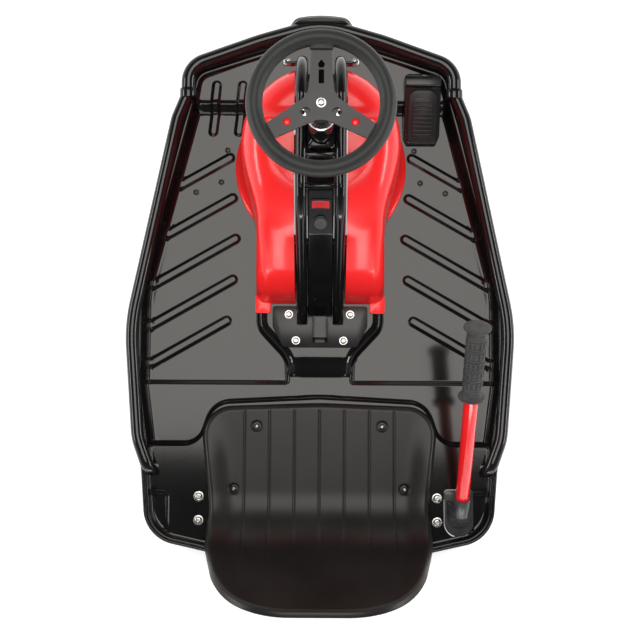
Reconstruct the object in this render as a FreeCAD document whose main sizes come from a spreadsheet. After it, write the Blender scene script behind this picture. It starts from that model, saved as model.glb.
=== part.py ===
import FreeCAD, Part
import math
import os
import Sketcher
from FreeCAD import Placement, Rotation, Vector

# Electric drift kart: a moulded floor pan on a tube frame, a steered and chain-driven
# front wheel under a round two-part shroud, and a lever that tips two rear casters.
# Millimetres.  +X is forward, +Y the driver's left, +Z up; the origin lies on the ground
# at the middle of the footprint.

# ------------------------------------------------------------------ driving sizes
SIZES = [
    ("rest_gap", 0.3, "air between a piece and what it rests on"),
    ("run_gap", 0.5, "air between turning faces"),
    # floor pan
    ("pan_bottom", 76, "underside of the pan over the ground"),
    ("pan_wall", 4, "thickness of the moulded floor and walls"),
    ("nose_front", 497, "front of the lip"),
    ("nose_round", 150, "radius of the lip at the nose"),
    ("shoulder_front", 421, "front corner of the lip, forward of the middle"),
    ("shoulder_half", 232, "front corner of the lip, to the side"),
    ("shoulder_round", 40, "radius of the front corner"),
    ("waist_half", 333, "half the width of the lip at the middle"),
    ("waist_front", 20, "front end of the straight middle of the side"),
    ("waist_back", 150, "rear end of that straight, behind the origin"),
    ("waist_round", 200, "radius of the lip's long bends"),
    ("hip_back", 300, "where the side turns in towards the tail"),
    ("hip_half", 312, "half the width there"),
    ("corner_back", 416, "rear corner of the lip"),
    ("corner_half", 303, "half the width at the rear corner"),
    ("corner_round", 65, "radius of the rear corner"),
    ("tail_back", 484, "rear of the lip"),
    ("tail_round", 300, "radius of the lip at the tail"),
    ("lip_top", 125, "top of the rolled lip"),
    ("lip_depth", 5, "thickness of the lip"),
    ("lip_overhang", 8, "how far the lip stands out of the wall"),
    ("midfloor_back", 140, "where the floor steps up behind the footwells"),
    ("midfloor_rise", 6, "height of that step"),
    ("platform_top", 114, "top of the seat platform"),
    ("platform_skin", 5, "thickness of the platform"),
    ("platform_front", 168, "front of the platform in the middle, behind the origin"),
    ("platform_middle_half", 190, "half the width of the part of the platform under the seat"),
    ("platform_side_half", 215, "where the platform's front edge turns outwards"),
    ("platform_side_back", 251, "front edge of the platform at the sides"),
    ("plateau_top", 98, "top of the raised floor that carries the spine"),
    ("plateau_half", 112, "half its width under the shroud"),
    ("plateau_neck_half", 62, "half its width behind the foot plate"),
    ("plateau_front", 112, "front of the raised floor"),
    ("plateau_shoulder_back", 48, "where it starts to narrow"),
    ("plateau_neck_back", 90, "where it is narrow"),
    ("plateau_ramp_back", 100, "top of its rear ramp"),
    ("plateau_back", 134, "foot of its rear ramp"),
    ("shelf_foot", 352, "foot of the front riser"),
    ("shelf_edge", 362, "front edge of the riser"),
    ("shelf_edge_top", 107, "height there"),
    ("shelf_bend", 432, "where the shelf levels out"),
    ("shelf_bend_top", 118, "height there"),
    ("wheel_hole_radius", 132, "opening in the floor round the drive wheel"),
    ("rib_rise", 4, "height of the footwell ribs"),
    ("rib_half", 8, "half the width of a rib"),
    ("rib_step", 75, "spacing of the ribs along the footwell"),
    ("rib_first", 268, "inner end of the foremost rib"),
    ("rib_inner", 155, "inner ends of the ribs, from the centre line"),
    ("rib_length", 122, "length of a rib"),
    ("rib_slant", 30, "degrees that a rib sweeps back"),
    ("toe_rib_rear", 317, "rear end of the ribs under the driver's toes"),
    ("toe_rib_length", 84, "length of those ribs"),
    ("toe_rib_half", 7, "half their width"),
    ("toe_rib_outer", 198, "rear end of the outer one, from the centre line"),
    ("toe_rib_inner", 151, "rear end of the inner one, from the centre line"),
    ("toe_rib_slant", 6.4, "degrees that they lean in towards the front"),
    ("pocket_depth", 3, "depth of the rear corner pockets"),
    ("slot_front", 14, "front of the lever slot, forward of the drift shaft"),
    ("slot_gap", 5, "air round the lever's foot in its slot"),
    ("boot_swing", 11, "how far the foot swings back as the lever lifts"),
    # bumper and side rails
    ("hoop_radius", 13, "front hoop tube"),
    ("hoop_end", 374, "rear ends of the hoop"),
    ("hoop_corner", 421.5, "corner of the hoop"),
    ("hoop_corner_half", 238, "half the width of the hoop's corners"),
    ("hoop_corner_round", 40, "radius of the hoop's corners"),
    ("collar_length", 18, "sleeves that join the side rails to the hoop"),
    ("hoop_arm_front", 468.4, "slight bend half way along an arm of the hoop"),
    ("hoop_arm_half", 110, "that bend, from the centre line"),
    ("hoop_arm_round", 400, "radius of that bend"),
    ("hoop_nose", 500.4, "nose point of the hoop's centre line"),
    ("guard_front", 521.5, "front face of the nose guard"),
    ("guard_crown", 2.6, "how far the guard's round front lies behind the point of its two faces"),
    ("guard_round", 225, "radius of that front"),
    ("guard_fall", 8, "how far the faces fall back to the guard's corners"),
    ("guard_half", 47, "corners of the guard's front, from the centre line"),
    ("guard_corner_round", 20, "radius of those corners"),
    ("guard_end_half", 64, "ends of the guard, from the centre line"),
    ("guard_depth", 34, "depth of the guard from front to rear"),
    ("guard_above", 14, "how far the guard reaches above and below the tube's centre"),
    ("guard_face", 4, "height of the guard's upright face"),
    ("guard_draft", 27, "degrees that the guard leans back above its face"),
    ("rail_radius", 11, "side rail tube"),
    ("rail_start_half", 240, "front end of the rail, from the centre line"),
    ("rail_knee_front", 326, "first bend of the rail"),
    ("rail_knee_half", 257.5, "half the width at the first bend"),
    ("rail_wide_back", 45, "second bend, behind the origin"),
    ("rail_wide_half", 332.5, "half the width at the second bend"),
    ("rail_wide_round", 300, "radius of the second bend"),
    ("rail_hip_back", 243, "third bend, behind the origin"),
    ("rail_hip_half", 316.5, "half the width at the third bend"),
    ("rail_hip_round", 100, "radius of the third bend"),
    ("rail_foot_back", 296, "rear foot of the rail"),
    ("rail_foot_half", 297, "half the distance between the rear feet"),
    ("rail_leg_inset", 8, "how far the rail's leg stands inside its foot"),
    ("rail_leg_radius", 8.5, "leg that carries the rear end of the rail"),
    ("rail_clip_front", 10, "bracket half way along the rail"),
    # spine
    ("spine_half", 32, "half the distance between the twin tubes"),
    ("spine_radius", 9.5, "twin tubes"),
    ("spine_front", 392, "front run of the tubes"),
    ("spine_top", 325, "height of the tubes' top run at the front"),
    ("spine_top_rear", 321, "height of the tubes' top run at the rear"),
    ("spine_bend", 142, "where the tubes turn down"),
    ("spine_foot_back", 38, "lower end of the tubes"),
    ("spine_foot_height", 101, "height of that end"),
    ("foot_plate_top", 102, "top of the foot plate"),
    ("foot_plate_half", 86, "half the width of the foot plate at its front"),
    ("foot_plate_tail_half", 60, "half the width of the foot plate at its rear"),
    ("foot_plate_front", 8, "front edge of the foot plate, behind the origin"),
    ("foot_plate_back", 80, "rear edge of the foot plate"),
    ("socket_half", 13, "half the width of the square socket"),
    ("socket_wall", 2.5, "wall of the square socket"),
    ("cover_half", 21.5, "half the width of the console between the tubes"),
    ("panel_front", 160, "front edge of the console's sloping panel"),
    ("panel_back", 96, "rear edge of the panel"),
    ("panel_drop", 54, "how far the panel falls from front to rear"),
    ("panel_depth", 5, "top of the panel under the tubes' centre lines"),
    ("cover_back", 24, "rear wall of the console, behind the origin"),
    ("cover_skirt", 12, "height of that wall"),
    # steering
    ("steer_front", 250, "steering axis, forward of the origin"),
    ("column_radius", 12.5, "steering column"),
    ("column_fit", 0.3, "running fit of the column"),
    ("head_radius", 19, "head tube"),
    ("head_bottom", 262, "lower end of the head tube"),
    ("head_top", 412, "upper end of the head tube"),
    ("cup_height", 10, "height of a bearing cup"),
    ("cup_radius", 21, "bearing cup"),
    ("spoke_plate_bottom", 492, "underside of the steering wheel's plate"),
    ("spoke_plate", 4, "thickness of that plate"),
    ("rim_radius", 98.5, "centre line of the steering wheel's rim"),
    ("rim_thick", 12.5, "radius of the foam grip"),
    ("hub_radius", 27, "middle of the steering wheel's plate"),
    ("spoke_slant", 29.5, "degrees that the rear spokes lie behind straight sideways"),
    # drive wheel, fork, chain and motor
    ("tyre_radius", 100, "drive tyre"),
    ("tyre_half", 25, "half the width of the drive tyre"),
    ("tyre_bead", 64, "inner radius of the drive tyre"),
    ("hub_web_half", 16, "half the thickness of the drive wheel's web"),
    ("axle_radius", 6, "front axle"),
    ("bore_fit", 0.3, "clearance of a wheel on its axle"),
    ("leg_left", 42, "inner face of the left fork leg"),
    ("leg_right", 32, "inner face of the right fork leg"),
    ("leg_thick", 5, "thickness of a fork leg"),
    ("leg_half", 21, "half the depth of a fork leg"),
    ("crown_bottom", 226, "underside of the fork crown"),
    ("crown_thick", 12, "thickness of the fork crown"),
    ("sprocket_radius", 44, "root of the driven sprocket"),
    ("sprocket_half", 1.5, "half the thickness of the sprockets"),
    ("chain_middle", 33, "middle of the chain, left of the centre line"),
    ("chain_half", 3, "half the width of the chain"),
    ("chain_depth", 7, "depth of the chain round a sprocket"),
    ("pinion_radius", 12, "sprocket on the motor"),
    ("motor_height", 190, "motor shaft over the ground"),
    ("motor_radius", 38, "motor can"),
    ("motor_length", 68, "length of the motor can"),
    # shroud
    ("shroud_wall", 3, "thickness of the shroud"),
    ("flange_radius", 156, "foot flange of the dome"),
    ("flange_depth", 4, "thickness of the foot flange"),
    ("dome_foot_radius", 141, "dome at its foot"),
    ("dome_head_radius", 131.5, "dome where its side would meet its top"),
    ("dome_round", 48, "shoulder of the dome"),
    ("dome_top", 301, "crown of the dome"),
    ("hump_half", 117, "half the width of the hump at the floor"),
    ("hump_back", 6, "rear wall of the hump at the floor, behind the origin"),
    ("hump_corner", 20, "upright corners of the hump"),
    ("rear_foot_depth", 14, "how far the shroud's rear feet reach back beside the foot plate"),
    ("hump_draft", 3, "degrees that the hump's sides lean in"),
    ("hump_brow", 14, "rear brow of the hump, forward of the origin"),
    ("hump_brow_top", 192, "height of the rear brow"),
    ("hump_meets_dome", 150, "where the slope reaches the dome's top"),
    ("slot_width", 88, "gap between the shroud's halves"),
    ("battery_half", 26, "half the width of a battery block"),
    ("battery_height", 82, "height of a battery block"),
    ("battery_length", 90, "length of a battery block"),
    ("battery_back", 28, "rear of the battery blocks, forward of the origin"),
    ("battery_middle", 76, "middle of a battery block, from the centre line"),
    # subframe
    ("frame_radius", 10, "tubes of the frame under the pan"),
    ("cross_radius", 8.5, "cross tubes of that frame"),
    ("frame_half", 147, "half the distance between the long tubes"),
    ("frame_front", 430, "front end of the long tubes"),
    ("frame_back", 258, "rear end of the long tubes"),
    ("frame_plate", 4, "plates of the frame"),
    ("frame_rear_half", 250, "half the length of the rear cross tube"),
    ("frame_plate_half", 215, "half the width of the rear deck plate"),
    ("frame_plate_back", 400, "rear edge of the rear deck plate"),
    # drift axle, lever and rear casters
    ("drift_back", 345, "drift shaft, behind the origin"),
    ("drift_height", 84, "drift shaft over the ground"),
    ("drift_radius", 10, "drift shaft"),
    ("drift_half", 272, "kingpins, from the centre line"),
    ("drift_tilt", 25, "degrees that the kingpins lean forward at rest"),
    ("block_inner", 196, "inner face of a bearing block"),
    ("block_length", 22, "length of a bearing block"),
    ("block_half", 26, "half the depth of a bearing block"),
    ("kingpin_head_radius", 13, "tube round a rear kingpin"),
    ("kingpin_head_half", 14, "half its length"),
    ("kingpin_radius", 5, "kingpin of a rear caster"),
    ("caster_trail", 18, "distance of the rear wheel's axle behind the kingpin"),
    ("caster_radius", 31, "rear wheel"),
    ("caster_half", 12, "half the width of the rear wheel"),
    ("caster_side_gap", 5, "air between a caster wheel and its fork"),
    ("caster_plate", 3, "legs of the rear fork"),
    ("lever_side", 245, "lever, right of the centre line"),
    ("lever_rise", 35.7, "degrees that the lever rises at rest"),
    ("lever_radius", 12, "lever tube"),
    ("lever_start_back", 38, "lower end of the lever's socket, behind the drift shaft"),
    ("lever_start_height", 135.2, "height of that end"),
    ("socket_radius", 14, "sleeve that holds the lever"),
    ("socket_length", 51, "upper end of the sleeve, along the lever"),
    ("socket_depth", 30, "how far the lever goes down into the sleeve"),
    ("boot_half", 21, "half the width of the lever's foot"),
    ("boot_front", 5, "front of the foot, behind the drift shaft"),
    ("boot_back", 53, "rear of the foot, behind the drift shaft"),
    ("boot_low", 117, "underside of the foot over the ground"),
    ("boot_rise", 33, "height of the foot"),
    ("boot_draft", 22, "degrees that the foot's sides lean in"),
    ("lever_length", 391, "lever from the socket's lower end to the grip's far end"),
    ("grip_radius", 15, "lever grip"),
    ("grip_length", 133, "length of the grip"),
    ("grip_flange", 22, "end flanges of the grip"),
    ("grip_flange_depth", 5, "thickness of the flanges"),
    ("web_half", 6, "half the thickness of the lever's web"),
    # front anti-tip casters
    ("tip_front", 245, "front casters, forward of the origin"),
    ("tip_half", 205, "front casters, from the centre line"),
    ("tip_plate_half", 30, "half the width of their plates"),
    ("tip_plate_thick", 3, "thickness of their plates"),
    ("tip_head_radius", 18, "swivel head"),
    ("tip_head_depth", 7, "depth of the swivel head"),
    ("tip_radius", 24, "front caster wheel"),
    ("tip_wheel_half", 9, "half its width"),
    ("tip_trail", 18, "distance of its axle behind the swivel"),
    ("tip_lift", 5, "air between the front caster wheels and the ground"),
    # pedal
    ("pedal_inner", 151, "inner side of the pedal's base"),
    ("pedal_outer", 216, "outer side of the pedal's base"),
    ("pedal_heel", 298, "heel of the pedal"),
    ("pedal_toe", 386, "toe of the pedal"),
    ("pedal_block", 17, "depth of the block ahead of the toe"),
    ("pedal_skirt", 12, "how far the housing's low front stands ahead of that block"),
    ("pedal_round", 9, "radius of the housing's corners"),
    ("pedal_heel_top", 92, "top of the base at the heel"),
    ("pedal_toe_top", 132, "top of the base at the toe"),
    ("pedal_thick", 9, "thickness of the pedal's plate"),
    ("pedal_inset", 6, "how far the plate stands back from the base's sides"),
    # seat
    ("seat_front", 180, "front edge of the seat, behind the origin"),
    ("seat_half", 200, "half the width of the seat"),
    ("seat_thick", 14, "thickness of the seat"),
    ("seat_knee_back", 403, "bend between the seat and its back"),
    ("seat_knee_round", 106, "inner radius of that bend"),
    ("seat_recline", 25.8, "degrees that the back leans"),
    ("seat_height", 345, "top of the back over the ground"),
    ("seat_front_round", 70, "front corners of the seat"),
    ("seat_foot_half", 229, "half the width to which the back's sides would run at the ground"),
    ("seat_top_half", 155, "half the width to which they would run at the top"),
    ("seat_top_round", 135, "top corners of the back"),
    ("seat_waist", 9, "how far the sides of the seat pull in before the back"),
    ("bolster_width", 22, "width of the raised sides"),
    ("bolster_rise", 16, "height of the raised sides"),
    ("seat_bolt_radius", 5, "holes for the seat's bolts"),
    ("seat_bolt_front", 222, "front bolts, behind the origin"),
    ("seat_bolt_front_half", 110, "front bolts, from the centre line"),
    ("seat_bolt_rear", 331, "rear bolts, behind the origin"),
    ("seat_bolt_rear_half", 149, "rear bolts, from the centre line"),
]

doc = FreeCAD.newDocument("drift_kart")
sheet = doc.addObject("Spreadsheet::Sheet", "Sizes")
for row, (alias, amount, note) in enumerate(SIZES, start=1):
    sheet.set(f"A{row}", alias)
    sheet.set(f"B{row}", str(amount))
    sheet.set(f"C{row}", note)
    sheet.setAlias(f"B{row}", alias)
doc.recompute()


class Size:
    """A size as a number and as the formula that gives it from the sheet."""

    def __init__(self, value, formula):
        self.value = value
        self.formula = formula

    def __add__(self, other):
        return combine(self, "+", other)

    def __radd__(self, other):
        return combine(other, "+", self)

    def __sub__(self, other):
        return combine(self, "-", other)

    def __rsub__(self, other):
        return combine(other, "-", self)

    def __mul__(self, other):
        return combine(self, "*", other)

    def __rmul__(self, other):
        return combine(other, "*", self)

    def __truediv__(self, other):
        return combine(self, "/", other)

    def __neg__(self):
        return combine(0, "-", self)


def as_size(amount):
    """A bare number as a Size."""
    return amount if isinstance(amount, Size) else Size(float(amount), f"({float(amount)!r})")


def combine(first, sign, second):
    """Two sizes joined by one of the four signs."""
    a, b = as_size(first), as_size(second)
    value = {"+": a.value + b.value, "-": a.value - b.value, "*": a.value * b.value}.get(sign)
    if sign == "/":
        value = a.value / b.value
    return Size(value, f"({a.formula} {sign} {b.formula})")


def wave(kind, degrees):
    """Sine, cosine or tangent of an angle in degrees."""
    angle = as_size(degrees)
    return Size(getattr(math, kind)(math.radians(angle.value)), f"{kind}({angle.formula} * 1 deg)")


class Sheet:
    """Gives the sheet's cells as sizes, by their aliases."""

    def __getattr__(self, alias):
        return Size(float(sheet.get(alias)), f"Sizes.{alias}")


S = Sheet()


# ------------------------------------------------------------------ how pieces are drawn
PLANES = {"XY": Rotation(), "XZ": Rotation(Vector(1, 0, 0), 90), "YZ": Rotation(0.5, 0.5, 0.5, 0.5)}


def bind(thing, prop, amount):
    """Ties a property to the sheet, or sets it where the amount is a bare number."""
    if isinstance(amount, Size):
        thing.setExpression(prop, amount.formula)
    else:
        setattr(thing, prop, amount)


def place(thing, at=(0, 0, 0), turn=None, about=(0, 0, 1)):
    """Puts a thing at a point, turned by an angle about an axis."""
    spin = Rotation(Vector(*about), as_size(turn).value) if turn is not None else Rotation()
    thing.Placement = Placement(Vector(*[as_size(part).value for part in at]), spin)
    for letter, part in zip("xyz", at):
        if isinstance(part, Size):
            thing.setExpression(f"Placement.Base.{letter}", part.formula)
    if isinstance(turn, Size):
        thing.setExpression("Placement.Rotation.Angle", f"{turn.formula} * 1 deg")
    return thing


def outline(name, corners, plane="XY", at=(0, 0, 0), closed=True):
    """A fully fixed sketch of straight runs, rounded at each corner that has a radius."""
    sketch = doc.addObject("Sketcher::SketchObject", name)
    place(sketch, at)
    sketch.Placement = Placement(sketch.Placement.Base, PLANES[plane])
    points = [Vector(as_size(x).value, as_size(y).value, 0) for x, y, *_ in corners]
    count = len(corners)
    reach = []
    for index, (_, _, *rounding) in enumerate(corners):
        if not rounding:
            reach.append((points[index], points[index], None))
            continue
        radius = as_size(rounding[0]).value
        back = (points[index - 1] - points[index]).normalize()
        ahead = (points[(index + 1) % count] - points[index]).normalize()
        half = back.getAngle(ahead) / 2
        centre = points[index] + (back + ahead).normalize() * (radius / math.sin(half))
        length = radius / math.tan(half)
        reach.append((points[index] + back * length, points[index] + ahead * length, centre))
    runs = count if closed else count - 1
    lines = [sketch.addGeometry(Part.LineSegment(reach[i][1], reach[(i + 1) % count][0]))
             for i in range(runs)]

    def fix(kind, *target, amount):
        number = sketch.addConstraint(Sketcher.Constraint(kind, *target, as_size(amount).value))
        if isinstance(amount, Size):
            sketch.setExpression(f"Constraints[{number}]", amount.formula)

    for index, (across, along, *rounding) in enumerate(corners):
        start, end, centre = reach[index]
        if centre is None:
            if closed or 0 < index < runs:
                sketch.addConstraint(
                    Sketcher.Constraint("Coincident", lines[index - 1], 2, lines[index % runs], 1))
            target = (lines[index], 1) if index < runs else (lines[index - 1], 2)
        else:
            left_turn = (start - points[index]).cross(end - points[index]).z < 0
            first, last = (start, end) if left_turn else (end, start)
            angles = [math.atan2(p.y - centre.y, p.x - centre.x) for p in (first, last)]
            if angles[1] < angles[0]:
                angles[1] += 2 * math.pi
            radius = as_size(rounding[0]).value
            arc = sketch.addGeometry(
                Part.ArcOfCircle(Part.Circle(centre, Vector(0, 0, 1), radius), *angles))
            point = sketch.addGeometry(Part.Point(points[index]), True)
            before, after = lines[index - 1], lines[index]
            sketch.addConstraint([
                Sketcher.Constraint("Tangent", before, 2, arc, 1 if left_turn else 2),
                Sketcher.Constraint("Tangent", after, 1, arc, 2 if left_turn else 1),
                Sketcher.Constraint("PointOnObject", point, 1, before),
                Sketcher.Constraint("PointOnObject", point, 1, after)])
            fix("Radius", arc, amount=rounding[0])
            target = (point, 1)
        fix("DistanceX", -1, 1, *target, amount=across)
        fix("DistanceY", -1, 1, *target, amount=along)
    return sketch


def both_sides(half):
    """Corners of one side, carried round to the other side of the X axis."""
    mirrored = [(x, -y, *rounding) for x, y, *rounding in reversed(half) if as_size(y).value != 0]
    return half + mirrored


def inset(name, sketch, amount):
    """An outline moved inwards by an amount."""
    ring = doc.addObject("Part::Offset2D", name)
    ring.Source = sketch
    ring.Mode = "Skin"
    ring.Join = "Intersection"
    bind(ring, "Value", -amount)
    return ring


def prism(name, base, depth, rise=0, draft=0, both_ways=False):
    """An outline pushed out along its normal; rise lifts the result along Z."""
    solid = doc.addObject("Part::Extrusion", name)
    solid.Base = base
    solid.DirMode = "Normal"
    solid.FaceMakerClass = "Part::FaceMakerSimple"
    solid.Solid = True
    solid.Symmetric = both_ways
    bind(solid, "LengthFwd", depth)
    if as_size(draft).value:
        bind(solid, "TaperAngle", draft)
    return place(solid, (0, 0, rise))


def box(name, x, y, z):
    """A block from the lower to the upper limit along each axis."""
    block = doc.addObject("Part::Box", name)
    for prop, (low, high) in zip(("Length", "Width", "Height"), (x, y, z)):
        bind(block, prop, as_size(high) - low)
    return place(block, (x[0], y[0], z[0]))


AXES = {"X": ((0, 1, 0), 90), "Y": ((1, 0, 0), -90), "Z": ((0, 0, 1), 0)}


def rod(name, radius, length, at, axis="Z"):
    """A round bar that starts at a point and runs along an axis."""
    bar = doc.addObject("Part::Cylinder", name)
    bind(bar, "Radius", radius)
    bind(bar, "Height", length)
    about, turn = AXES[axis]
    return place(bar, at, turn, about)


def several(kind, name, shapes):
    """A boolean of several shapes."""
    result = doc.addObject(kind, name)
    result.Shapes = shapes
    return result


def fuse(name, *shapes):
    return several("Part::MultiFuse", name, list(shapes))


def common(name, *shapes):
    return several("Part::MultiCommon", name, list(shapes))


def cut(name, base, *tools):
    """The base without the tools."""
    result = doc.addObject("Part::Cut", name)
    result.Base = base
    result.Tool = tools[0] if len(tools) == 1 else fuse(name + "_tools", *tools)
    return result


def group(name, *solids):
    """Solids that stay apart but share a node."""
    result = doc.addObject("Part::Compound", name)
    result.Links = list(solids)
    return result


def mirrored(name, source, normal=(0, 1, 0)):
    """The same piece on the other side of the middle."""
    result = doc.addObject("Part::Mirroring", name)
    result.Source = source
    result.Normal = Vector(*normal)
    return result


def spun(name, sketch, at=(0, 0, 0), axis=(0, 0, 1)):
    """An outline in the XZ plane turned once round an axis through its own origin."""
    result = doc.addObject("Part::Revolution", name)
    result.Source = sketch
    result.Axis = Vector(*axis)
    result.Angle = 360
    result.Solid = True
    return place(result, at)


def pipe(name, path, radius, start, heading):
    """A round bar along a path; heading is the path's direction at its start."""
    profile = doc.addObject("Part::Circle", name + "_section")
    bind(profile, "Radius", radius)
    place(profile, start)
    profile.Placement = Placement(profile.Placement.Base, Rotation(Vector(0, 0, 1), Vector(*heading)))
    sweep = doc.addObject("Part::Sweep", name)
    sweep.Sections = [profile]
    sweep.Spine = (path, [])
    sweep.Solid = True
    return sweep


NODES = {}


def node(name, shape):
    """Names a finished sub-part, which is written out under its label."""
    shape.Label = name
    NODES[name] = shape
    return shape


# ------------------------------------------------------------------ floor pan
floor_top = S.pan_bottom + S.pan_wall
below = S.pan_bottom - 20
wall_inset = S.lip_overhang + S.pan_wall

pan_lip = outline("pan_lip", both_sides([
    (S.nose_front, 0, S.nose_round),
    (S.shoulder_front, S.shoulder_half, S.shoulder_round),
    (S.waist_front, S.waist_half, S.waist_round),
    (-S.waist_back, S.waist_half, S.waist_round),
    (-S.hip_back, S.hip_half, S.waist_round),
    (-S.corner_back, S.corner_half, S.corner_round),
    (-S.tail_back, 0, S.tail_round)]))
wall_outer = inset("wall_outer", pan_lip, S.lip_overhang)
wall_inner = inset("wall_inner", pan_lip, wall_inset)
wall_middle = inset("wall_middle", pan_lip, S.lip_overhang + S.pan_wall / 2)

tub = cut(
    "tub",
    fuse("tub_block",
         prism("tub_walls", wall_outer, S.lip_top - S.pan_bottom, S.pan_bottom),
         prism("tub_lip", pan_lip, S.lip_depth, S.lip_top - S.lip_depth)),
    prism("tub_hollow", wall_inner, S.lip_top - S.pan_bottom, floor_top))

platform_outline = outline("platform_outline", both_sides([
    (-S.platform_front, 0),
    (-S.platform_front - 10, S.platform_middle_half, 45),
    (-S.platform_side_back, S.platform_side_half, 35),
    (-S.platform_side_back, S.waist_half + 22),
    (-S.tail_back - 36, S.waist_half + 22)]))
plateau_outline = outline("plateau_outline", both_sides([
    (S.plateau_front, S.plateau_half),
    (-S.plateau_shoulder_back, S.plateau_half, 25),
    (-S.plateau_neck_back, S.plateau_neck_half, 25),
    (-S.plateau_back, S.plateau_neck_half)]))
midfloor_top = floor_top + S.midfloor_rise
plateau_side = outline("plateau_side", [
    (S.plateau_front, below),
    (S.plateau_front, S.plateau_top),
    (-S.plateau_ramp_back, S.plateau_top),
    (-S.plateau_back, midfloor_top),
    (-S.plateau_back, below)], "XZ")
shelf_side = outline("shelf_side", [
    (S.shelf_foot - 4, S.pan_bottom),
    (S.shelf_foot, floor_top),
    (S.shelf_edge, S.shelf_edge_top, 8),
    (S.shelf_bend, S.shelf_bend_top, 60),
    (S.nose_front, S.lip_top - S.lip_depth),
    (S.nose_front, S.pan_bottom)], "XZ")
shelf_under_side = outline("shelf_under_side", [
    (S.shelf_foot + 3, below),
    (S.shelf_foot + 3, S.pan_bottom),
    (S.shelf_edge + 3, S.shelf_edge_top - S.pan_wall, 5),
    (S.shelf_bend, S.shelf_bend_top - S.pan_wall, 60),
    (S.nose_front, S.lip_top - S.lip_depth - S.pan_wall),
    (S.nose_front, below)], "XZ")
full_width = 2 * S.waist_half
inside_height = S.lip_top - S.pan_bottom


def footwell_rib(name, x, side):
    """A raised rib that sweeps back from its inner end to the wall."""
    length = S.rib_length - S.rib_half * 2
    rib = outline(name + "_outline", [
        (-S.rib_half, -S.rib_half, S.rib_half * 0.98),
        (length + S.rib_half, -S.rib_half, S.rib_half * 0.98),
        (length + S.rib_half, S.rib_half, S.rib_half * 0.98),
        (-S.rib_half, S.rib_half, S.rib_half * 0.98)])
    solid = prism(name, rib, S.rib_rise + S.pan_wall / 2)
    turn = (90 + S.rib_slant) * side
    return place(solid, (x, S.rib_inner * side, S.pan_bottom + S.pan_wall / 2), turn)


ribs = [footwell_rib(f"rib_{label}_{number}", S.rib_first - S.rib_step * number, side)
        for label, side in (("left", 1), ("right", -1)) for number in range(5)]


def toe_rib(name, across):
    """A rib on the driver's left that climbs from the footwell on to the front shelf."""
    plan = outline(name + "_outline", [
        (0, -S.toe_rib_half, S.toe_rib_half * 0.98),
        (S.toe_rib_length, -S.toe_rib_half, S.toe_rib_half * 0.98),
        (S.toe_rib_length, S.toe_rib_half, S.toe_rib_half * 0.98),
        (0, S.toe_rib_half, S.toe_rib_half * 0.98)])
    bar = prism(name + "_bar", plan, S.lip_top - floor_top)
    place(bar, (S.toe_rib_rear, across, S.pan_bottom + S.pan_wall / 2), -S.toe_rib_slant)
    return common(name, bar, fuse(
        name + "_height",
        box(name + "_floor", (S.toe_rib_rear - 20, S.shelf_edge), (0, S.waist_half),
            (S.pan_bottom, floor_top + S.rib_rise)),
        place(prism(name + "_shelf", shelf_side, full_width, both_ways=True), (0, 0, S.rib_rise))))


toe_ribs = [toe_rib("toe_rib_outer", S.toe_rib_outer), toe_rib("toe_rib_inner", S.toe_rib_inner)]
dome_clearance = rod("dome_clearance", S.flange_radius + 6, inside_height, (S.steer_front, 0, floor_top))
raised = common(
    "raised",
    prism("pan_inside", wall_middle, inside_height, S.pan_bottom),
    fuse("raised_forms",
         prism("platform_block", platform_outline, S.platform_top - S.pan_bottom, S.pan_bottom),
         common("plateau_block",
                prism("plateau_plan", plateau_outline, S.plateau_top - S.pan_bottom, S.pan_bottom),
                prism("plateau_profile", plateau_side, full_width, both_ways=True)),
         box("midfloor_block", (-S.platform_side_back - 10, -S.midfloor_back),
             (-S.waist_half, S.waist_half), (S.pan_bottom, midfloor_top)),
         cut("shelf_block", prism("shelf_profile", shelf_side, full_width, both_ways=True),
             dome_clearance),
         cut("ribs_clear", fuse("ribs", *ribs, *toe_ribs), dome_clearance)))

under_forms = fuse(
    "under_forms",
    prism("platform_under", inset("platform_under_outline", platform_outline, S.pan_wall),
          S.platform_top - S.platform_skin - below, below),
    common("plateau_under",
           prism("plateau_under_plan", inset("plateau_under_outline", plateau_outline, S.pan_wall),
                 S.plateau_top - S.pan_wall - below, below),
           place(prism("plateau_under_profile", plateau_side, full_width, both_ways=True),
                 (0, 0, -S.pan_wall))),
    common("midfloor_under", prism("midfloor_under_plan", wall_inner, midfloor_top - S.pan_wall - below,
                                   below),
           box("midfloor_under_block", (-S.platform_side_back - 10, -S.midfloor_back - S.pan_wall),
               (-S.waist_half, S.waist_half), (below, midfloor_top - S.pan_wall))),
    cut("shelf_under",
        common("shelf_under_block",
               prism("shelf_under_plan", wall_inner, S.lip_top - below, below),
               prism("shelf_under_profile", shelf_under_side, full_width, both_ways=True)),
        rod("dome_ledge", S.flange_radius + 10, S.lip_top - below, (S.steer_front, 0, below))))
slot_half = S.boot_half + S.slot_gap
slot_front = S.drift_back - S.slot_front
slot_back = S.drift_back + S.boot_back + S.slot_gap + S.boot_swing
lever_slot = prism("lever_slot", outline("lever_slot_outline", [
    (-slot_front, -S.lever_side - slot_half, 6),
    (-slot_front, -S.lever_side + slot_half, 6),
    (-slot_back, -S.lever_side + slot_half, slot_half - 1),
    (-slot_back, -S.lever_side - slot_half, slot_half - 1)]),
    3 * S.platform_skin, S.platform_top - 2 * S.platform_skin)
pocket_outline = outline("pocket_outline", [
    (-S.hip_back - 34, S.hip_half - 49, 12),
    (-S.hip_back - 34, S.waist_half + 12),
    (-S.corner_back - 18, S.waist_half + 12),
    (-S.corner_back + 2, S.hip_half - 49, 8)])
pocket_left = common(
    "pocket_left",
    prism("pocket_block", pocket_outline, S.pocket_depth + 5, S.platform_top - S.pocket_depth),
    prism("pocket_limit", inset("pocket_limit_outline", pan_lip, wall_inset + 6), S.lip_top, 0))
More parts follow.
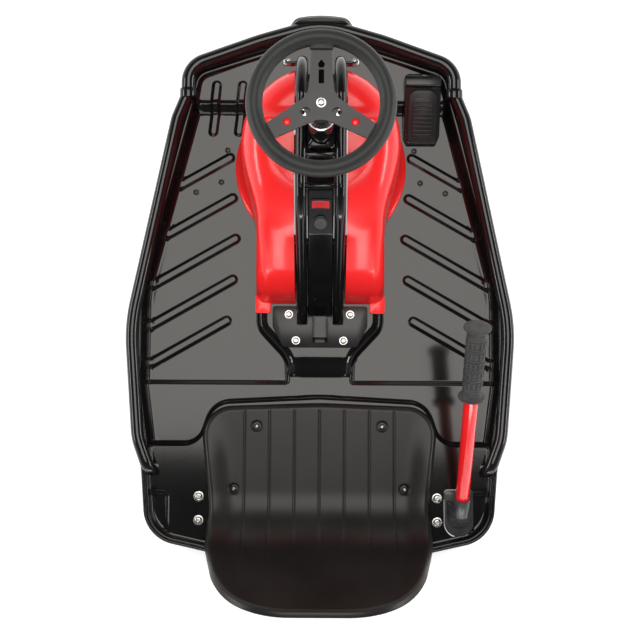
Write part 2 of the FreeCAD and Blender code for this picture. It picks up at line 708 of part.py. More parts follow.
floor_pan = node("floor_pan", cut(
    "floor_pan", fuse("pan_forms", tub, raised), under_forms, lever_slot,
    rod("wheel_hole", S.wheel_hole_radius, 4 * S.pan_wall, (S.steer_front, 0, below + 12)),
    pocket_left, mirrored("pocket_right", pocket_left),
    *[rod(f"seat_bolt_{number}", S.seat_bolt_radius, 3 * S.platform_skin,
          (-x, y, S.platform_top - 2 * S.platform_skin))
      for number, (x, y) in enumerate([
          (S.seat_bolt_front, S.seat_bolt_front_half), (S.seat_bolt_front, -S.seat_bolt_front_half),
          (S.seat_bolt_rear, S.seat_bolt_rear_half), (S.seat_bolt_rear, -S.seat_bolt_rear_half)])]))

# ------------------------------------------------------------------ bumper hoop and nose guard
hoop_height = S.lip_top + S.rest_gap + S.hoop_radius
hoop_path = outline("hoop_path", [
    (S.hoop_end, S.hoop_corner_half),
    (S.hoop_corner, S.hoop_corner_half, S.hoop_corner_round),
    (S.hoop_arm_front, S.hoop_arm_half, S.hoop_arm_round),
    (S.hoop_nose, 0, S.nose_round),
    (S.hoop_arm_front, -S.hoop_arm_half, S.hoop_arm_round),
    (S.hoop_corner, -S.hoop_corner_half, S.hoop_corner_round),
    (S.hoop_end, -S.hoop_corner_half)], at=(0, 0, hoop_height), closed=False)
hoop_start = (S.hoop_end, S.hoop_corner_half, hoop_height)
rail_start = (S.hoop_end - 4.5, S.rail_start_half)
rail_path = outline("rail_path", [
    rail_start,
    (S.rail_knee_front, S.rail_knee_half, S.corner_round),
    (-S.rail_wide_back, S.rail_wide_half, S.rail_wide_round),
    (-S.rail_hip_back, S.rail_hip_half, S.rail_hip_round),
    (-S.rail_foot_back, S.rail_foot_half)], at=(0, 0, hoop_height), closed=False)
rail_heading = (as_size(S.rail_knee_front - rail_start[0]).value,
                as_size(S.rail_knee_half - rail_start[1]).value, 0)


def rail_pipe(name, radius):
    """A bar along the side rail's bent line."""
    return pipe(name, rail_path, radius, (*rail_start, hoop_height), rail_heading)


def rail_collar(name, side):
    """The sleeve at an end of the hoop that takes the front of a side rail."""
    return rod(name, S.hoop_radius + 2.5, S.collar_length,
               (S.hoop_end - S.collar_length + 6, S.hoop_corner_half * side, hoop_height), "X")


collar_bore = rail_pipe("collar_bore_left", S.rail_radius + S.rest_gap)
bumper_hoop = node("bumper_hoop", cut(
    "hoop",
    fuse("hoop_weld", pipe("hoop_tube", hoop_path, S.hoop_radius, hoop_start, (1, 0, 0)),
         rail_collar("collar_left", 1), rail_collar("collar_right", -1)),
    collar_bore, mirrored("collar_bore_right", collar_bore),
    box("collar_flat", (0, S.hoop_end + 20), (-S.waist_half, S.waist_half),
        (S.pan_bottom, S.lip_top + S.rest_gap))))


guard_low = hoop_height - S.guard_above
guard_point = S.guard_front + S.guard_crown
guard_plan = outline("guard_plan", both_sides([
    (guard_point, 0, S.guard_round),
    (guard_point - S.guard_fall, S.guard_half, S.guard_corner_round),
    (guard_point - S.guard_depth, S.guard_end_half)]))
nose_guard = node("nose_guard", cut(
    "guard",
    fuse("guard_outside",
         prism("guard_upright", guard_plan, S.guard_face + 0.5, guard_low),
         prism("guard_slope", guard_plan, 2 * S.guard_above - S.guard_face,
               guard_low + S.guard_face, draft=-S.guard_draft)),
    pipe("guard_bore", hoop_path, S.hoop_radius + S.rest_gap, hoop_start, (1, 0, 0)),
    prism("guard_lip_notch", pan_lip, S.lip_top + S.rest_gap)))

# ------------------------------------------------------------------ side rails
rail_elbow = doc.addObject("Part::Sphere", "rail_elbow")
bind(rail_elbow, "Radius", S.rail_radius + 0.6)
place(rail_elbow, (-S.rail_foot_back, S.rail_foot_half, hoop_height))
foot_low = S.platform_top + S.rest_gap
leg_half = S.rail_foot_half - S.rail_leg_inset
side_rail_left = node("side_rail_left", fuse(
    "rail_left",
    rail_pipe("rail_tube", S.rail_radius),
    rail_elbow,
    rod("rail_leg", S.rail_leg_radius, hoop_height - foot_low, (-S.rail_foot_back, leg_half, foot_low)),
    box("rail_foot", (-S.rail_foot_back - 12, -S.rail_foot_back + 12),
        (leg_half - 24, leg_half + S.rail_leg_radius), (foot_low, foot_low + 3)),
    box("rail_clip", (S.rail_clip_front - 12, S.rail_clip_front + 12),
        (S.rail_wide_half - S.rail_radius - 4, S.rail_wide_half - 3),
        (S.lip_top + S.rest_gap, hoop_height - S.rail_radius + 2))))
side_rail_right = node("side_rail_right", mirrored("rail_right", side_rail_left))

# ------------------------------------------------------------------ spine of twin tubes
spine_path = outline("spine_path", [
    (S.spine_front, floor_top + S.rest_gap),
    (S.spine_front, S.spine_top, 80),
    (S.spine_bend, S.spine_top_rear, 70),
    (-S.spine_foot_back - 12, S.spine_foot_height - 14.6)],
    "XZ", at=(0, S.spine_half, 0), closed=False)
spine_foot_start = (S.spine_front, S.spine_half, floor_top + S.rest_gap)
spine_left = pipe("spine_left", spine_path, S.spine_radius, spine_foot_start, (0, 0, 1))
spine_flange = box("spine_flange", (S.spine_front - 14, S.spine_front + S.spine_radius),
                   (1 - S.slot_width / 2, S.slot_width / 2 - 1),
                   (floor_top + S.rest_gap, floor_top + S.rest_gap + 4))


def bridge(name, x, low, high):
    """A flat plate welded between the twin tubes."""
    return box(name, (x - 4, x + 4), (-S.spine_half, S.spine_half), (low, high))


def shroud_tab(name, side):
    """A tab on the front run of a tube, where the shroud is bolted."""
    inner = S.spine_half + S.spine_radius - 2
    near, far = (inner, inner + 18) if side > 0 else (-inner - 18, -inner)
    return box(name, (S.spine_front - 6, S.spine_front - 3), (near, far), (248, 268))


spine_frame = node("spine_frame", cut(
    "spine", fuse(
        "spine_weld", spine_left, mirrored("spine_right", spine_left), spine_flange,
        bridge("bridge_front", S.steer_front - 34, S.spine_top_rear - 5, S.spine_top_rear + 7),
        bridge("bridge_rear", S.steer_front - 86, S.spine_top_rear - 5, S.spine_top_rear + 7),
        shroud_tab("tab_left", 1), shroud_tab("tab_right", -1)),
    box("spine_foot_cut", (-150, 100), (-80, 80), (0, S.foot_plate_top + S.rest_gap))))

column_bore = S.column_radius + S.column_fit
cup_low = S.head_bottom - S.cup_height
head_tube = node("head_tube", cut(
    "head",
    fuse("head_weld",
         rod("head_barrel", S.head_radius, S.head_top - S.head_bottom, (S.steer_front, 0, S.head_bottom)),
         rod("cup_lower", S.cup_radius, S.cup_height, (S.steer_front, 0, cup_low)),
         rod("cup_upper", S.cup_radius, S.cup_height, (S.steer_front, 0, S.head_top)),
         box("head_gusset", (S.steer_front - 22, S.steer_front + 40),
             (-S.spine_half + S.spine_radius, S.spine_half - S.spine_radius),
             (S.spine_top_rear - 8, S.spine_top_rear + 8))),
    rod("head_bore", column_bore, S.head_top - S.head_bottom + 4 * S.cup_height,
        (S.steer_front, 0, cup_low - S.cup_height))))

panel_top = S.spine_top_rear - S.panel_depth
panel_foot = panel_top - S.panel_drop
cover_low = S.foot_plate_top + 1
cover_side = outline("cover_side", [
    (S.panel_front + 12, panel_top), (S.panel_front, panel_top, 8), (S.panel_back, panel_foot, 20),
    (-S.cover_back, cover_low + S.cover_skirt - 2, 6), (-S.cover_back, cover_low),
    (14, cover_low, 6), (S.panel_back + 32, panel_foot - 19, 20), (S.panel_front + 12, panel_top - 36)], "XZ")
spine_cover = node("spine_cover", prism("cover", cover_side, 2 * S.cover_half, both_ways=True))
panel_run = S.panel_front - S.panel_back
panel_slope = math.degrees(math.atan2(as_size(S.panel_drop).value, as_size(panel_run).value))


def on_panel(thing, back):
    """Sets a piece on the sloping panel, this far behind its front edge, Z along its normal."""
    height = panel_top - S.panel_drop * back / panel_run
    return place(thing, (S.panel_front - back, 0, height), -panel_slope, (0, 1, 0))


power_switch = node("power_switch", on_panel(fuse(
    "switch",
    box("switch_bezel", (-9, 9), (-17, 17), (S.rest_gap, 3)),
    box("switch_rocker", (-6.5, 6.5), (-14.5, 14.5), (2, 6))), 20))
charge_port_cap = node("charge_port_cap", on_panel(fuse(
    "cap",
    rod("cap_collar", 12, 2.5, (0, 0, S.rest_gap)),
    rod("cap_lid", 10.5, 5, (0, 0, S.rest_gap + 2))), 46))

foot_plate_outline = outline("foot_plate_outline", both_sides([
    (-S.foot_plate_front, S.foot_plate_half, 8),
    (-S.foot_plate_front - 22, S.foot_plate_half, 12),
    (-S.foot_plate_back, S.foot_plate_tail_half, 10)]))
plate_low = S.plateau_top + S.rest_gap
foot_plate = node("foot_plate", cut(
    "foot",
    fuse("foot_weld",
         prism("foot_sheet", foot_plate_outline, S.foot_plate_top - plate_low, plate_low),
         box("square_tube", (-S.foot_plate_back + 7, -28), (-S.socket_half, S.socket_half),
             (S.foot_plate_top - 1, S.foot_plate_top + 2 * S.socket_half))),
    box("square_bore", (-S.foot_plate_back - 10, -28),
        (-S.socket_half + S.socket_wall, S.socket_half - S.socket_wall),
        (S.foot_plate_top + 1.5, S.foot_plate_top + 2 * S.socket_half - S.socket_wall)),
    *[rod(f"plate_bolt_{number}", 4, 40, (-x, y, S.plateau_top - 10))
      for number, (x, y) in enumerate([(24, 57.4), (24, -57.4), (70, 43.4), (70, -43.4)])]))

# ------------------------------------------------------------------ shroud
hump_side = outline("hump_side", [
    (S.steer_front, below),
    (S.steer_front, S.dome_top),
    (S.hump_meets_dome, S.dome_top, 60),
    (S.hump_brow, S.hump_brow_top, 25),
    (-S.hump_back, floor_top),
    (-S.hump_back, below)], "XZ")
floor_rest = floor_top + S.rest_gap


def shroud_body(name, wall, side):
    """Dome and hump as one solid, drawn in by the wall for the inside."""
    dome_side = outline(name + "_dome_side", [
        (0, below),
        (S.dome_foot_radius - wall, below),
        (S.dome_foot_radius - wall, floor_rest),
        (S.dome_head_radius - wall, S.dome_top - 5 - wall, S.dome_round - wall),
        (0, S.dome_top - wall)], "XZ")
    hump_plan = outline(name + "_hump_plan", [
        (S.steer_front, wall - S.hump_half),
        (S.steer_front, S.hump_half - wall),
        (wall - S.hump_back, S.hump_half - wall, S.hump_corner - wall),
        (wall - S.hump_back, wall - S.hump_half, S.hump_corner - wall)])
    hump = common(name + "_hump",
                  prism(name + "_plan_block", hump_plan, S.dome_top - floor_top + 20, floor_top - 10,
                        draft=-S.hump_draft),
                  prism(name + "_profile", side, full_width, both_ways=True))
    return fuse(name, spun(name + "_dome", dome_side, (S.steer_front, 0, 0)), hump)


dome_shell = cut("shroud_shell", shroud_body("shroud_outside", as_size(0), hump_side),
                 shroud_body("shroud_inside", S.shroud_wall,
                             inset("hump_inner_side", hump_side, S.shroud_wall)))
flange = cut(
    "dome_flange",
    rod("flange_disc", S.flange_radius, S.flange_depth, (S.steer_front, 0, floor_rest)),
    rod("flange_hole", S.dome_foot_radius - S.shroud_wall, 3 * S.flange_depth,
        (S.steer_front, 0, floor_rest - S.flange_depth)),
    box("flange_hump_gap", (0, S.steer_front), (-S.hump_half + S.shroud_wall, S.hump_half - S.shroud_wall),
        (below, floor_rest + 2 * S.flange_depth)))
rear_foot = box("rear_foot", (-S.hump_back - S.rear_foot_depth, S.hump_brow),
                (S.foot_plate_half + 2, S.hump_half - 1),
                (S.plateau_top + S.rest_gap, S.plateau_top + S.rest_gap + S.flange_depth))
shroud_left = node("shroud_left", cut(
    "shroud",
    common("shroud_half", fuse("shroud_all", dome_shell, flange, rear_foot),
           box("left_half", (-S.hump_back - 50, S.steer_front + S.flange_radius + 20),
               (S.slot_width / 2, S.flange_radius + 20), (floor_rest, S.dome_top + 20))),
    prism("plateau_clearance", inset("plateau_grown", plateau_outline, -S.rest_gap),
          S.plateau_top + S.rest_gap - below, below)))
shroud_right = node("shroud_right", mirrored("shroud_mirrored", shroud_left))


def battery(name, side):
    """One battery block, on the raised floor beside the spine."""
    return box(name, (S.battery_back, S.battery_back + S.battery_length),
               (S.battery_middle * side - S.battery_half, S.battery_middle * side + S.battery_half),
               (S.plateau_top + S.rest_gap, S.plateau_top + S.rest_gap + S.battery_height))


battery_pack = node("battery_pack", group("batteries", battery("battery_left", 1),
                                          battery("battery_right", -1)))

# ------------------------------------------------------------------ steering wheel and column
crown_top = S.crown_bottom + S.crown_thick
boss_top = cup_low - S.rest_gap
steering_column = node("steering_column", fuse(
    "column",
    rod("column_tube", S.column_radius, S.spoke_plate_bottom - boss_top, (S.steer_front, 0, boss_top)),
    rod("column_flange", S.hub_radius, 6, (S.steer_front, 0, S.spoke_plate_bottom - 6))))


def spoke(name, turn, hub_half, rim_half):
    """A tapered arm of the steering wheel's plate."""
    arm = outline(name + "_outline", [
        (0, -hub_half), (S.rim_radius - 6, -rim_half), (S.rim_radius - 6, rim_half), (0, hub_half)])
    solid = prism(name, arm, S.spoke_plate)
    return place(solid, (S.steer_front, 0, S.spoke_plate_bottom), turn)


steering_spokes = node("steering_spokes", fuse(
    "spokes",
    rod("spoke_hub", S.hub_radius, S.spoke_plate, (S.steer_front, 0, S.spoke_plate_bottom)),
    spoke("spoke_front", 0, 20, 14),
    spoke("spoke_left", 90 + S.spoke_slant, 18.5, 12.2),
    spoke("spoke_right", -90 - S.spoke_slant, 18.5, 12.2)))
rim_ring = doc.addObject("Part::Torus", "rim_ring")
bind(rim_ring, "Radius1", S.rim_radius)
bind(rim_ring, "Radius2", S.rim_thick)
rim_height = S.spoke_plate_bottom + S.spoke_plate
place(rim_ring, (S.steer_front, 0, rim_height))
steering_rim = node("steering_rim", cut("rim", rim_ring, steering_spokes))

# ------------------------------------------------------------------ fork, axle, motor and chain
axle_height = S.tyre_radius
left_end = S.leg_left + S.leg_thick
right_end = S.leg_right + S.leg_thick


def fork_leg(name, low, high):
    """An upright plate of the fork, round at the axle."""
    leg = outline(name + "_outline", [
        (S.steer_front - S.leg_half, crown_top),
        (S.steer_front - S.leg_half * 0.8, axle_height - 16, 12),
        (S.steer_front + S.leg_half * 0.8, axle_height - 16, 12),
        (S.steer_front + S.leg_half, crown_top)], "XZ", at=(0, high, 0))
    return prism(name, leg, high - low)


drive_fork = node("drive_fork", cut(
    "fork",
    fuse("fork_weld",
         box("fork_crown", (S.steer_front - S.leg_half, S.steer_front + S.leg_half),
             (-right_end, left_end), (S.crown_bottom, crown_top)),
         rod("fork_boss", S.cup_radius, boss_top - crown_top, (S.steer_front, 0, crown_top)),
         fork_leg("leg_left_plate", S.leg_left, left_end),
         fork_leg("leg_right_plate", -right_end, -S.leg_right)),
    rod("axle_hole", S.axle_radius + S.bore_fit, 200, (S.steer_front, -100, axle_height), "Y"),
    rod("shaft_hole", S.axle_radius + S.bore_fit, 30, (S.steer_front, S.leg_left - 10, S.motor_height), "Y")))
front_axle = node("front_axle", rod(
    "axle", S.axle_radius, left_end + right_end + 10, (S.steer_front, -right_end - 5, axle_height), "Y"))
chain_left = S.chain_middle + S.chain_half
drive_motor = node("drive_motor", fuse(
    "motor",
    rod("motor_can", S.motor_radius, S.motor_length, (S.steer_front, left_end, S.motor_height), "Y"),
    rod("motor_shaft", S.axle_radius, left_end - S.chain_middle + 1,
        (S.steer_front, S.chain_middle, S.motor_height), "Y"),
    rod("pinion", S.pinion_radius, 2 * S.sprocket_half,
        (S.steer_front, S.chain_middle - S.sprocket_half, S.motor_height), "Y")))


def chain_loop(name, wheel, pinion, half):
    """The slab between two rounds and their common tangents."""
    span = S.motor_height - axle_height
    lean = math.asin(as_size((wheel - pinion) / span).value)
    slab = outline(name + "_outline", [
        (S.steer_front + wheel * math.cos(lean), axle_height + wheel * math.sin(lean)),
        (S.steer_front + pinion * math.cos(lean), S.motor_height + pinion * math.sin(lean)),
        (S.steer_front - pinion * math.cos(lean), S.motor_height + pinion * math.sin(lean)),
        (S.steer_front - wheel * math.cos(lean), axle_height + wheel * math.sin(lean))],
        "XZ", at=(0, S.chain_middle + half, 0))
    return fuse(name, prism(name + "_runs", slab, 2 * half),
                rod(name + "_wheel", wheel, 2 * half, (S.steer_front, S.chain_middle - half, axle_height), "Y"),
                rod(name + "_pinion", pinion, 2 * half,
                    (S.steer_front, S.chain_middle - half, S.motor_height), "Y"))


chain_bore = S.sprocket_radius + 1.5
pinion_bore = S.pinion_radius + S.run_gap
drive_chain = node("drive_chain", cut(
    "chain",
    chain_loop("chain_outside", chain_bore + S.chain_depth, pinion_bore + S.chain_depth, S.chain_half),
    chain_loop("chain_inside", chain_bore, pinion_bore, S.chain_half + 1)))

# ------------------------------------------------------------------ drive wheel
tyre_side = outline("tyre_side", [
    (S.tyre_bead, -S.tyre_half + 5),
    (S.tyre_radius - 12, -S.tyre_half, 6),
    (S.tyre_radius, -S.tyre_half + 8, 8),
    (S.tyre_radius, S.tyre_half - 8, 8),
    (S.tyre_radius - 12, S.tyre_half, 6),
    (S.tyre_bead, S.tyre_half - 5)])
drive_tyre = node("drive_tyre", spun("tyre", tyre_side, (S.steer_front, 0, axle_height), (0, 1, 0)))
hub_half = S.tyre_half - 5
wheel_bore = S.axle_radius + S.bore_fit
hub_side = outline("hub_side", [
    (wheel_bore, -S.leg_right + 2),
    (20, -S.leg_right + 2),
    (20, -S.hub_web_half),
    (S.tyre_bead - 10, -S.hub_web_half),
    (S.tyre_bead - 8, -hub_half),
    (S.tyre_bead, -hub_half),
    (S.tyre_bead, hub_half),
    (S.tyre_bead - 8, hub_half),
    (S.tyre_bead - 10, S.hub_web_half),
    (22, S.hub_web_half),
    (22, S.chain_middle - S.sprocket_half),
    (S.sprocket_radius, S.chain_middle - S.sprocket_half),
    (S.sprocket_radius, S.chain_middle + S.sprocket_half),
    (wheel_bore, S.chain_middle + S.sprocket_half)])
drive_hub = node("drive_hub", spun("hub", hub_side, (S.steer_front, 0, axle_height), (0, 1, 0)))

# ------------------------------------------------------------------ frame under the pan
frame_height = S.pan_bottom - S.rest_gap - S.frame_radius
deck_under = S.platform_top - S.platform_skin


def long_tube(name, side):
    return rod(name, S.frame_radius, S.frame_front + S.frame_back,
               (-S.frame_back, S.frame_half * side, frame_height), "X")


def cross_tube(name, x, half):
    return rod(name, S.cross_radius, 2 * half, (x, -half, frame_height), "Y")


def bumper_bracket(name, side):
    """A bent strap from a long tube to the underside of the hoop, clear of the lip."""
    front = S.nose_front - (S.nose_front - S.shoulder_front) * (S.frame_half - 10) / S.shoulder_half + 1.5
    strap = outline(name + "_outline", [
        (S.frame_front - 20, frame_height - 3),
        (front + 4, frame_height - 3, 6),
        (front + 4, S.lip_top),
        (front, S.lip_top),
        (front, frame_height + 3, 3),
        (S.frame_front - 20, frame_height + 3)], "XZ", at=(0, S.frame_half * side, 0))
    return prism(name, strap, 2 * S.frame_radius, both_ways=True)


saddle_x = -45
subframe = node("subframe", fuse(
    "frame_weld",
    long_tube("long_tube_left", 1), long_tube("long_tube_right", -1),
    cross_tube("cross_front", S.spine_front, S.frame_half + 33),
    cross_tube("cross_middle", saddle_x, S.frame_half),
    cross_tube("cross_rear", -S.frame_back + 18, S.frame_rear_half),
    box("saddle", (saddle_x - 14, saddle_x + 14), (-50, 50),
        (frame_height, S.plateau_top - S.pan_wall - S.rest_gap)),
    box("riser_plate", (-S.frame_back - S.frame_plate, -S.frame_back),
        (-S.frame_plate_half, S.frame_plate_half), (frame_height - S.frame_radius, deck_under)),
    box("deck_plate", (-S.frame_plate_back, -S.frame_back),
        (-S.frame_plate_half, S.frame_plate_half), (deck_under - S.frame_plate, deck_under)),
    bumper_bracket("bracket_left", 1), bumper_bracket("bracket_right", -1)))


def bearing_block(name, side):
    """A block under the deck plate that carries the drift shaft."""
    middle = (S.block_inner + S.block_length / 2) * side
    half = S.block_length / 2
    return cut(name,
               box(name + "_body", (-S.drift_back - S.block_half, -S.drift_back + S.block_half),
                   (middle - half, middle + half),
                   (S.drift_height - S.drift_radius - 6, deck_under - S.frame_plate)),
               rod(name + "_bore", S.drift_radius + S.column_fit, 60,
                   (-S.drift_back, middle - 30, S.drift_height), "Y"))


pivot_blocks = node("pivot_blocks", group(
    "blocks", bearing_block("block_left", 1), bearing_block("block_right", -1)))

# ------------------------------------------------------------------ drift shaft and lever
shaft_at = (-S.drift_back, 0, S.drift_height)
head_half = S.kingpin_head_half
shaft_half = S.drift_half - S.kingpin_head_radius + 3


tilt_cos, tilt_sin = wave("cos", S.drift_tilt), wave("sin", S.drift_tilt)


def kingpin_at(side):
    return (-S.drift_back, S.drift_half * side, S.drift_height)


def kingpin_rod(name, radius, side, low, high):
    """A bar along a kingpin, between two heights over the drift shaft."""
    bar = doc.addObject("Part::Cylinder", name)
    bind(bar, "Radius", radius)
    bind(bar, "Height", high - low)
    centre = kingpin_at(side)
    foot = (centre[0] + low * tilt_sin, centre[1], centre[2] + low * tilt_cos)
    return place(bar, foot, S.drift_tilt, (0, 1, 0))


lever_dir = (wave("cos", S.lever_rise), 0, wave("sin", S.lever_rise))
lever_foot = (-S.drift_back - S.lever_start_back, -S.lever_side, S.lever_start_height)


def along_lever(distance):
    """A point on the lever's centre line."""
    return tuple(base + part * distance for base, part in zip(lever_foot, lever_dir))


def lever_rod(name, radius, start, length):
    """A bar along the lever."""
    bar = doc.addObject("Part::Cylinder", name)
    bind(bar, "Radius", radius)
    bind(bar, "Height", length)
    return place(bar, along_lever(start), 90 - S.lever_rise, (0, 1, 0))


boot_front = S.drift_back + S.boot_front
boot_back = S.drift_back + S.boot_back
web_side = outline("web_side", [
    (-S.drift_back - 12, S.drift_height - 12, 11),
    (-S.drift_back + 12, S.drift_height - 12, 11),
    (-boot_front - 3, S.boot_low + S.boot_half),
    (-boot_back + 18, S.boot_low + S.boot_half)], "XZ", at=(0, -S.lever_side, 0))
boot_clear = outline("boot_clear", [
    (-boot_front + 30, -S.lever_side - S.boot_half),
    (-boot_front + 30, -S.lever_side + S.boot_half),
    (-boot_back, -S.lever_side + S.boot_half),
    (-boot_back, -S.lever_side - S.boot_half)])
drift_shaft = node("drift_shaft", cut(
    "shaft",
    fuse("shaft_weld",
         rod("shaft_bar", S.drift_radius, 2 * shaft_half, (-S.drift_back, -shaft_half, S.drift_height), "Y"),
         kingpin_rod("kingpin_head_left", S.kingpin_head_radius, 1, -head_half, head_half),
         kingpin_rod("kingpin_head_right", S.kingpin_head_radius, -1, -head_half, head_half),
         prism("lever_web", web_side, 2 * S.web_half, both_ways=True)),
    kingpin_rod("kingpin_bore_left", S.kingpin_radius + S.bore_fit, 1, -2 * head_half, 2 * head_half),
    kingpin_rod("kingpin_bore_right", S.kingpin_radius + S.bore_fit, -1, -2 * head_half, 2 * head_half),
    prism("web_trim", boot_clear, 2 * S.boot_rise, S.boot_low + 6)))
boot_outline = outline("boot_outline", [
    (-boot_front, -S.lever_side - S.boot_half, 3),
    (-boot_front, -S.lever_side + S.boot_half, 3),
    (-boot_back, -S.lever_side + S.boot_half, S.boot_half - 1),
    (-boot_back, -S.lever_side - S.boot_half, S.boot_half - 1)])
lever_low = S.socket_length - S.socket_depth
lever_socket = node("lever_socket", cut(
    "socket",
    fuse("socket_body",
         prism("socket_boot", boot_outline, S.boot_rise, S.boot_low, draft=-S.boot_draft),
         lever_rod("socket_sleeve", S.socket_radius, lever_low - 6, S.socket_depth + 6)),
    drift_shaft,
    lever_rod("socket_bore", S.lever_radius + 0.2, lever_low, S.socket_length)))
drift_lever = node("drift_lever", lever_rod(
    "lever", S.lever_radius, lever_low + 0.5, S.lever_length - lever_low - S.grip_flange_depth - 1.5))
grip_start = S.lever_length - S.grip_length
lever_grip = node("lever_grip", cut(
    "grip",
    fuse("grip_body",
         lever_rod("grip_sleeve", S.grip_radius, grip_start, S.grip_length),
         lever_rod("grip_flange_low", S.grip_flange, grip_start, S.grip_flange_depth),
         lever_rod("grip_flange_high", S.grip_flange, S.lever_length - S.grip_flange_depth,
                   S.grip_flange_depth)),
    lever_rod("grip_bore", S.lever_radius + 0.15, grip_start - 10,
              S.grip_length + 10 - S.grip_flange_depth)))

# ------------------------------------------------------------------ rear casters
caster_drop = (S.drift_height - S.caster_radius + S.caster_trail * tilt_sin) / tilt_cos
crown_high = -head_half - S.run_gap
crown_low = crown_high - 4
caster_inside = S.caster_half + S.caster_side_gap
caster_outside = caster_inside + S.caster_plate


def wheel_profile(name, radius, half, bore):
    """Half section of a small solid wheel with rounded shoulders."""
    return outline(name, [
        (bore, -half), (radius * 0.55, -half), (radius * 0.62, -half + 3), (radius * 0.7, -half + 0.5, 2),
        (radius, -half, 5), (radius, half, 5), (radius * 0.7, half - 0.5, 2), (radius * 0.62, half - 3),
        (radius * 0.55, half), (bore, half)])


def tilted(name, shapes, side):
    """Shapes drawn about an upright kingpin, leaned with it and set on its side."""
    return place(fuse(name, *shapes), kingpin_at(side), S.drift_tilt, (0, 1, 0))


for label, side in (("left", 1), ("right", -1)):
    fork_side = outline(f"caster_side_{label}", [
        (18, crown_high), (-16, crown_high), (-S.caster_trail - 11, -caster_drop - 11, 10),
        (-S.caster_trail + 11, -caster_drop - 11, 10), (18, crown_low - 4)],
        "XZ", at=(0, caster_outside, 0))
    plates = cut(f"caster_plates_{label}",
                 prism(f"caster_block_{label}", fork_side, 2 * caster_outside),
                 box(f"caster_gap_{label}", (-100, 100), (-caster_inside, caster_inside), (-150, crown_low)))
    node(f"caster_fork_{label}", tilted(f"caster_fork_{label}", [
        plates,
        rod(f"kingpin_{label}", S.kingpin_radius, 2 * head_half + 8, (0, 0, crown_low)),
        rod(f"kingpin_nut_{label}", 7, 4, (0, 0, head_half + S.run_gap)),
        rod(f"caster_axle_{label}", 4, 2 * caster_outside + 4,
            (-S.caster_trail, -caster_outside - 2, -caster_drop), "Y")], side))
    wheel = spun(f"caster_round_{label}",
                 wheel_profile(f"caster_wheel_side_{label}", S.caster_radius, S.caster_half,
                               4 + S.bore_fit), (-S.caster_trail, 0, -caster_drop), (0, 1, 0))
    hub = cut(f"caster_hub_{label}",
              rod(f"caster_hub_body_{label}", 8, 2 * S.caster_half + 4,
                  (-S.caster_trail, -S.caster_half - 2, -caster_drop), "Y"),
              rod(f"caster_hub_bore_{label}", 4 + S.bore_fit, 60,
                  (-S.caster_trail, -30, -caster_drop), "Y"))
    node(f"caster_wheel_{label}", tilted(f"caster_wheel_{label}", [wheel, hub], side))

# ------------------------------------------------------------------ front anti-tip casters
tip_head_low = S.pan_bottom - S.tip_plate_thick - S.tip_head_depth
tip_crown_high = tip_head_low - S.run_gap
tip_crown_low = tip_crown_high - 4
tip_axle = S.tip_radius + S.tip_lift
tip_inside = S.tip_wheel_half + S.caster_side_gap
tip_outside = tip_inside + 2.5
for label, side in (("left", 1), ("right", -1)):
    tip_at = (S.tip_front, S.tip_half * side, 0)
    mount = fuse(f"tip_mount_{label}",
                 box(f"tip_plate_{label}", (-S.tip_plate_half, S.tip_plate_half),
                     (-S.tip_plate_half, S.tip_plate_half),
                     (S.pan_bottom - S.tip_plate_thick, S.pan_bottom)),
                 rod(f"tip_head_{label}", S.tip_head_radius, S.tip_head_depth, (0, 0, tip_head_low)))
    node(f"tip_mount_{label}", place(
        cut(f"tip_mount_bored_{label}", mount,
            rod(f"tip_bore_{label}", 4 + S.bore_fit, S.tip_head_depth, (0, 0, tip_head_low))), tip_at))
    tip_side = outline(f"tip_side_{label}", [
        (15, tip_crown_high), (-15, tip_crown_high), (-S.tip_trail - 8, tip_axle - 8, 7),
        (-S.tip_trail + 8, tip_axle - 8, 7), (15, tip_crown_low - 3)], "XZ", at=(0, tip_outside, 0))
    tip_plates = cut(f"tip_plates_{label}", prism(f"tip_block_{label}", tip_side, 2 * tip_outside),
                     box(f"tip_gap_{label}", (-60, 60), (-tip_inside, tip_inside), (0, tip_crown_low)))
    node(f"tip_fork_{label}", place(fuse(
        f"tip_fork_{label}", tip_plates,
        rod(f"tip_pin_{label}", 4, 4 + S.run_gap + S.tip_head_depth - 1, (0, 0, tip_crown_low)),
        rod(f"tip_axle_{label}", 3, 2 * tip_outside + 2, (-S.tip_trail, -tip_outside - 1, tip_axle), "Y")),
        tip_at))
    node(f"tip_wheel_{label}", spun(
        f"tip_wheel_{label}",
        wheel_profile(f"tip_wheel_side_{label}", S.tip_radius, S.tip_wheel_half, 3 + S.bore_fit),
        (S.tip_front - S.tip_trail, S.tip_half * side, tip_axle), (0, 1, 0)))

# ------------------------------------------------------------------ pedal
pedal_middle = -(S.pedal_inner + S.pedal_outer) / 2
pedal_width = S.pedal_outer - S.pedal_inner
pedal_slope = (S.pedal_toe_top - S.pedal_heel_top) / (S.pedal_toe - S.pedal_heel)
top_slope = (S.shelf_bend_top - S.shelf_edge_top) / (S.shelf_bend - S.shelf_edge)
clear_foot = S.shelf_foot - 0.6
block_front = S.pedal_toe + S.pedal_block
skirt_front = block_front + S.pedal_skirt
pedal_base_side = outline("pedal_base_side", [
    (S.pedal_heel - 4, floor_rest),
    (clear_foot, floor_rest),
    (S.shelf_edge - 0.6, S.shelf_edge_top + 0.6),
    (skirt_front, S.shelf_edge_top + 0.6 + top_slope * (skirt_front - S.shelf_edge)),
    (skirt_front, S.pedal_toe_top - 8, 4),
    (block_front, S.pedal_toe_top, 4),
    (block_front, S.pedal_toe_top + S.pedal_thick, 4),
    (S.pedal_toe + 2, S.pedal_toe_top + S.pedal_thick, 3),
    (S.pedal_toe + 1, S.pedal_toe_top),
    (S.pedal_heel, S.pedal_heel_top),
    (S.pedal_heel - 4, S.pedal_heel_top)], "XZ", at=(0, pedal_middle, 0))
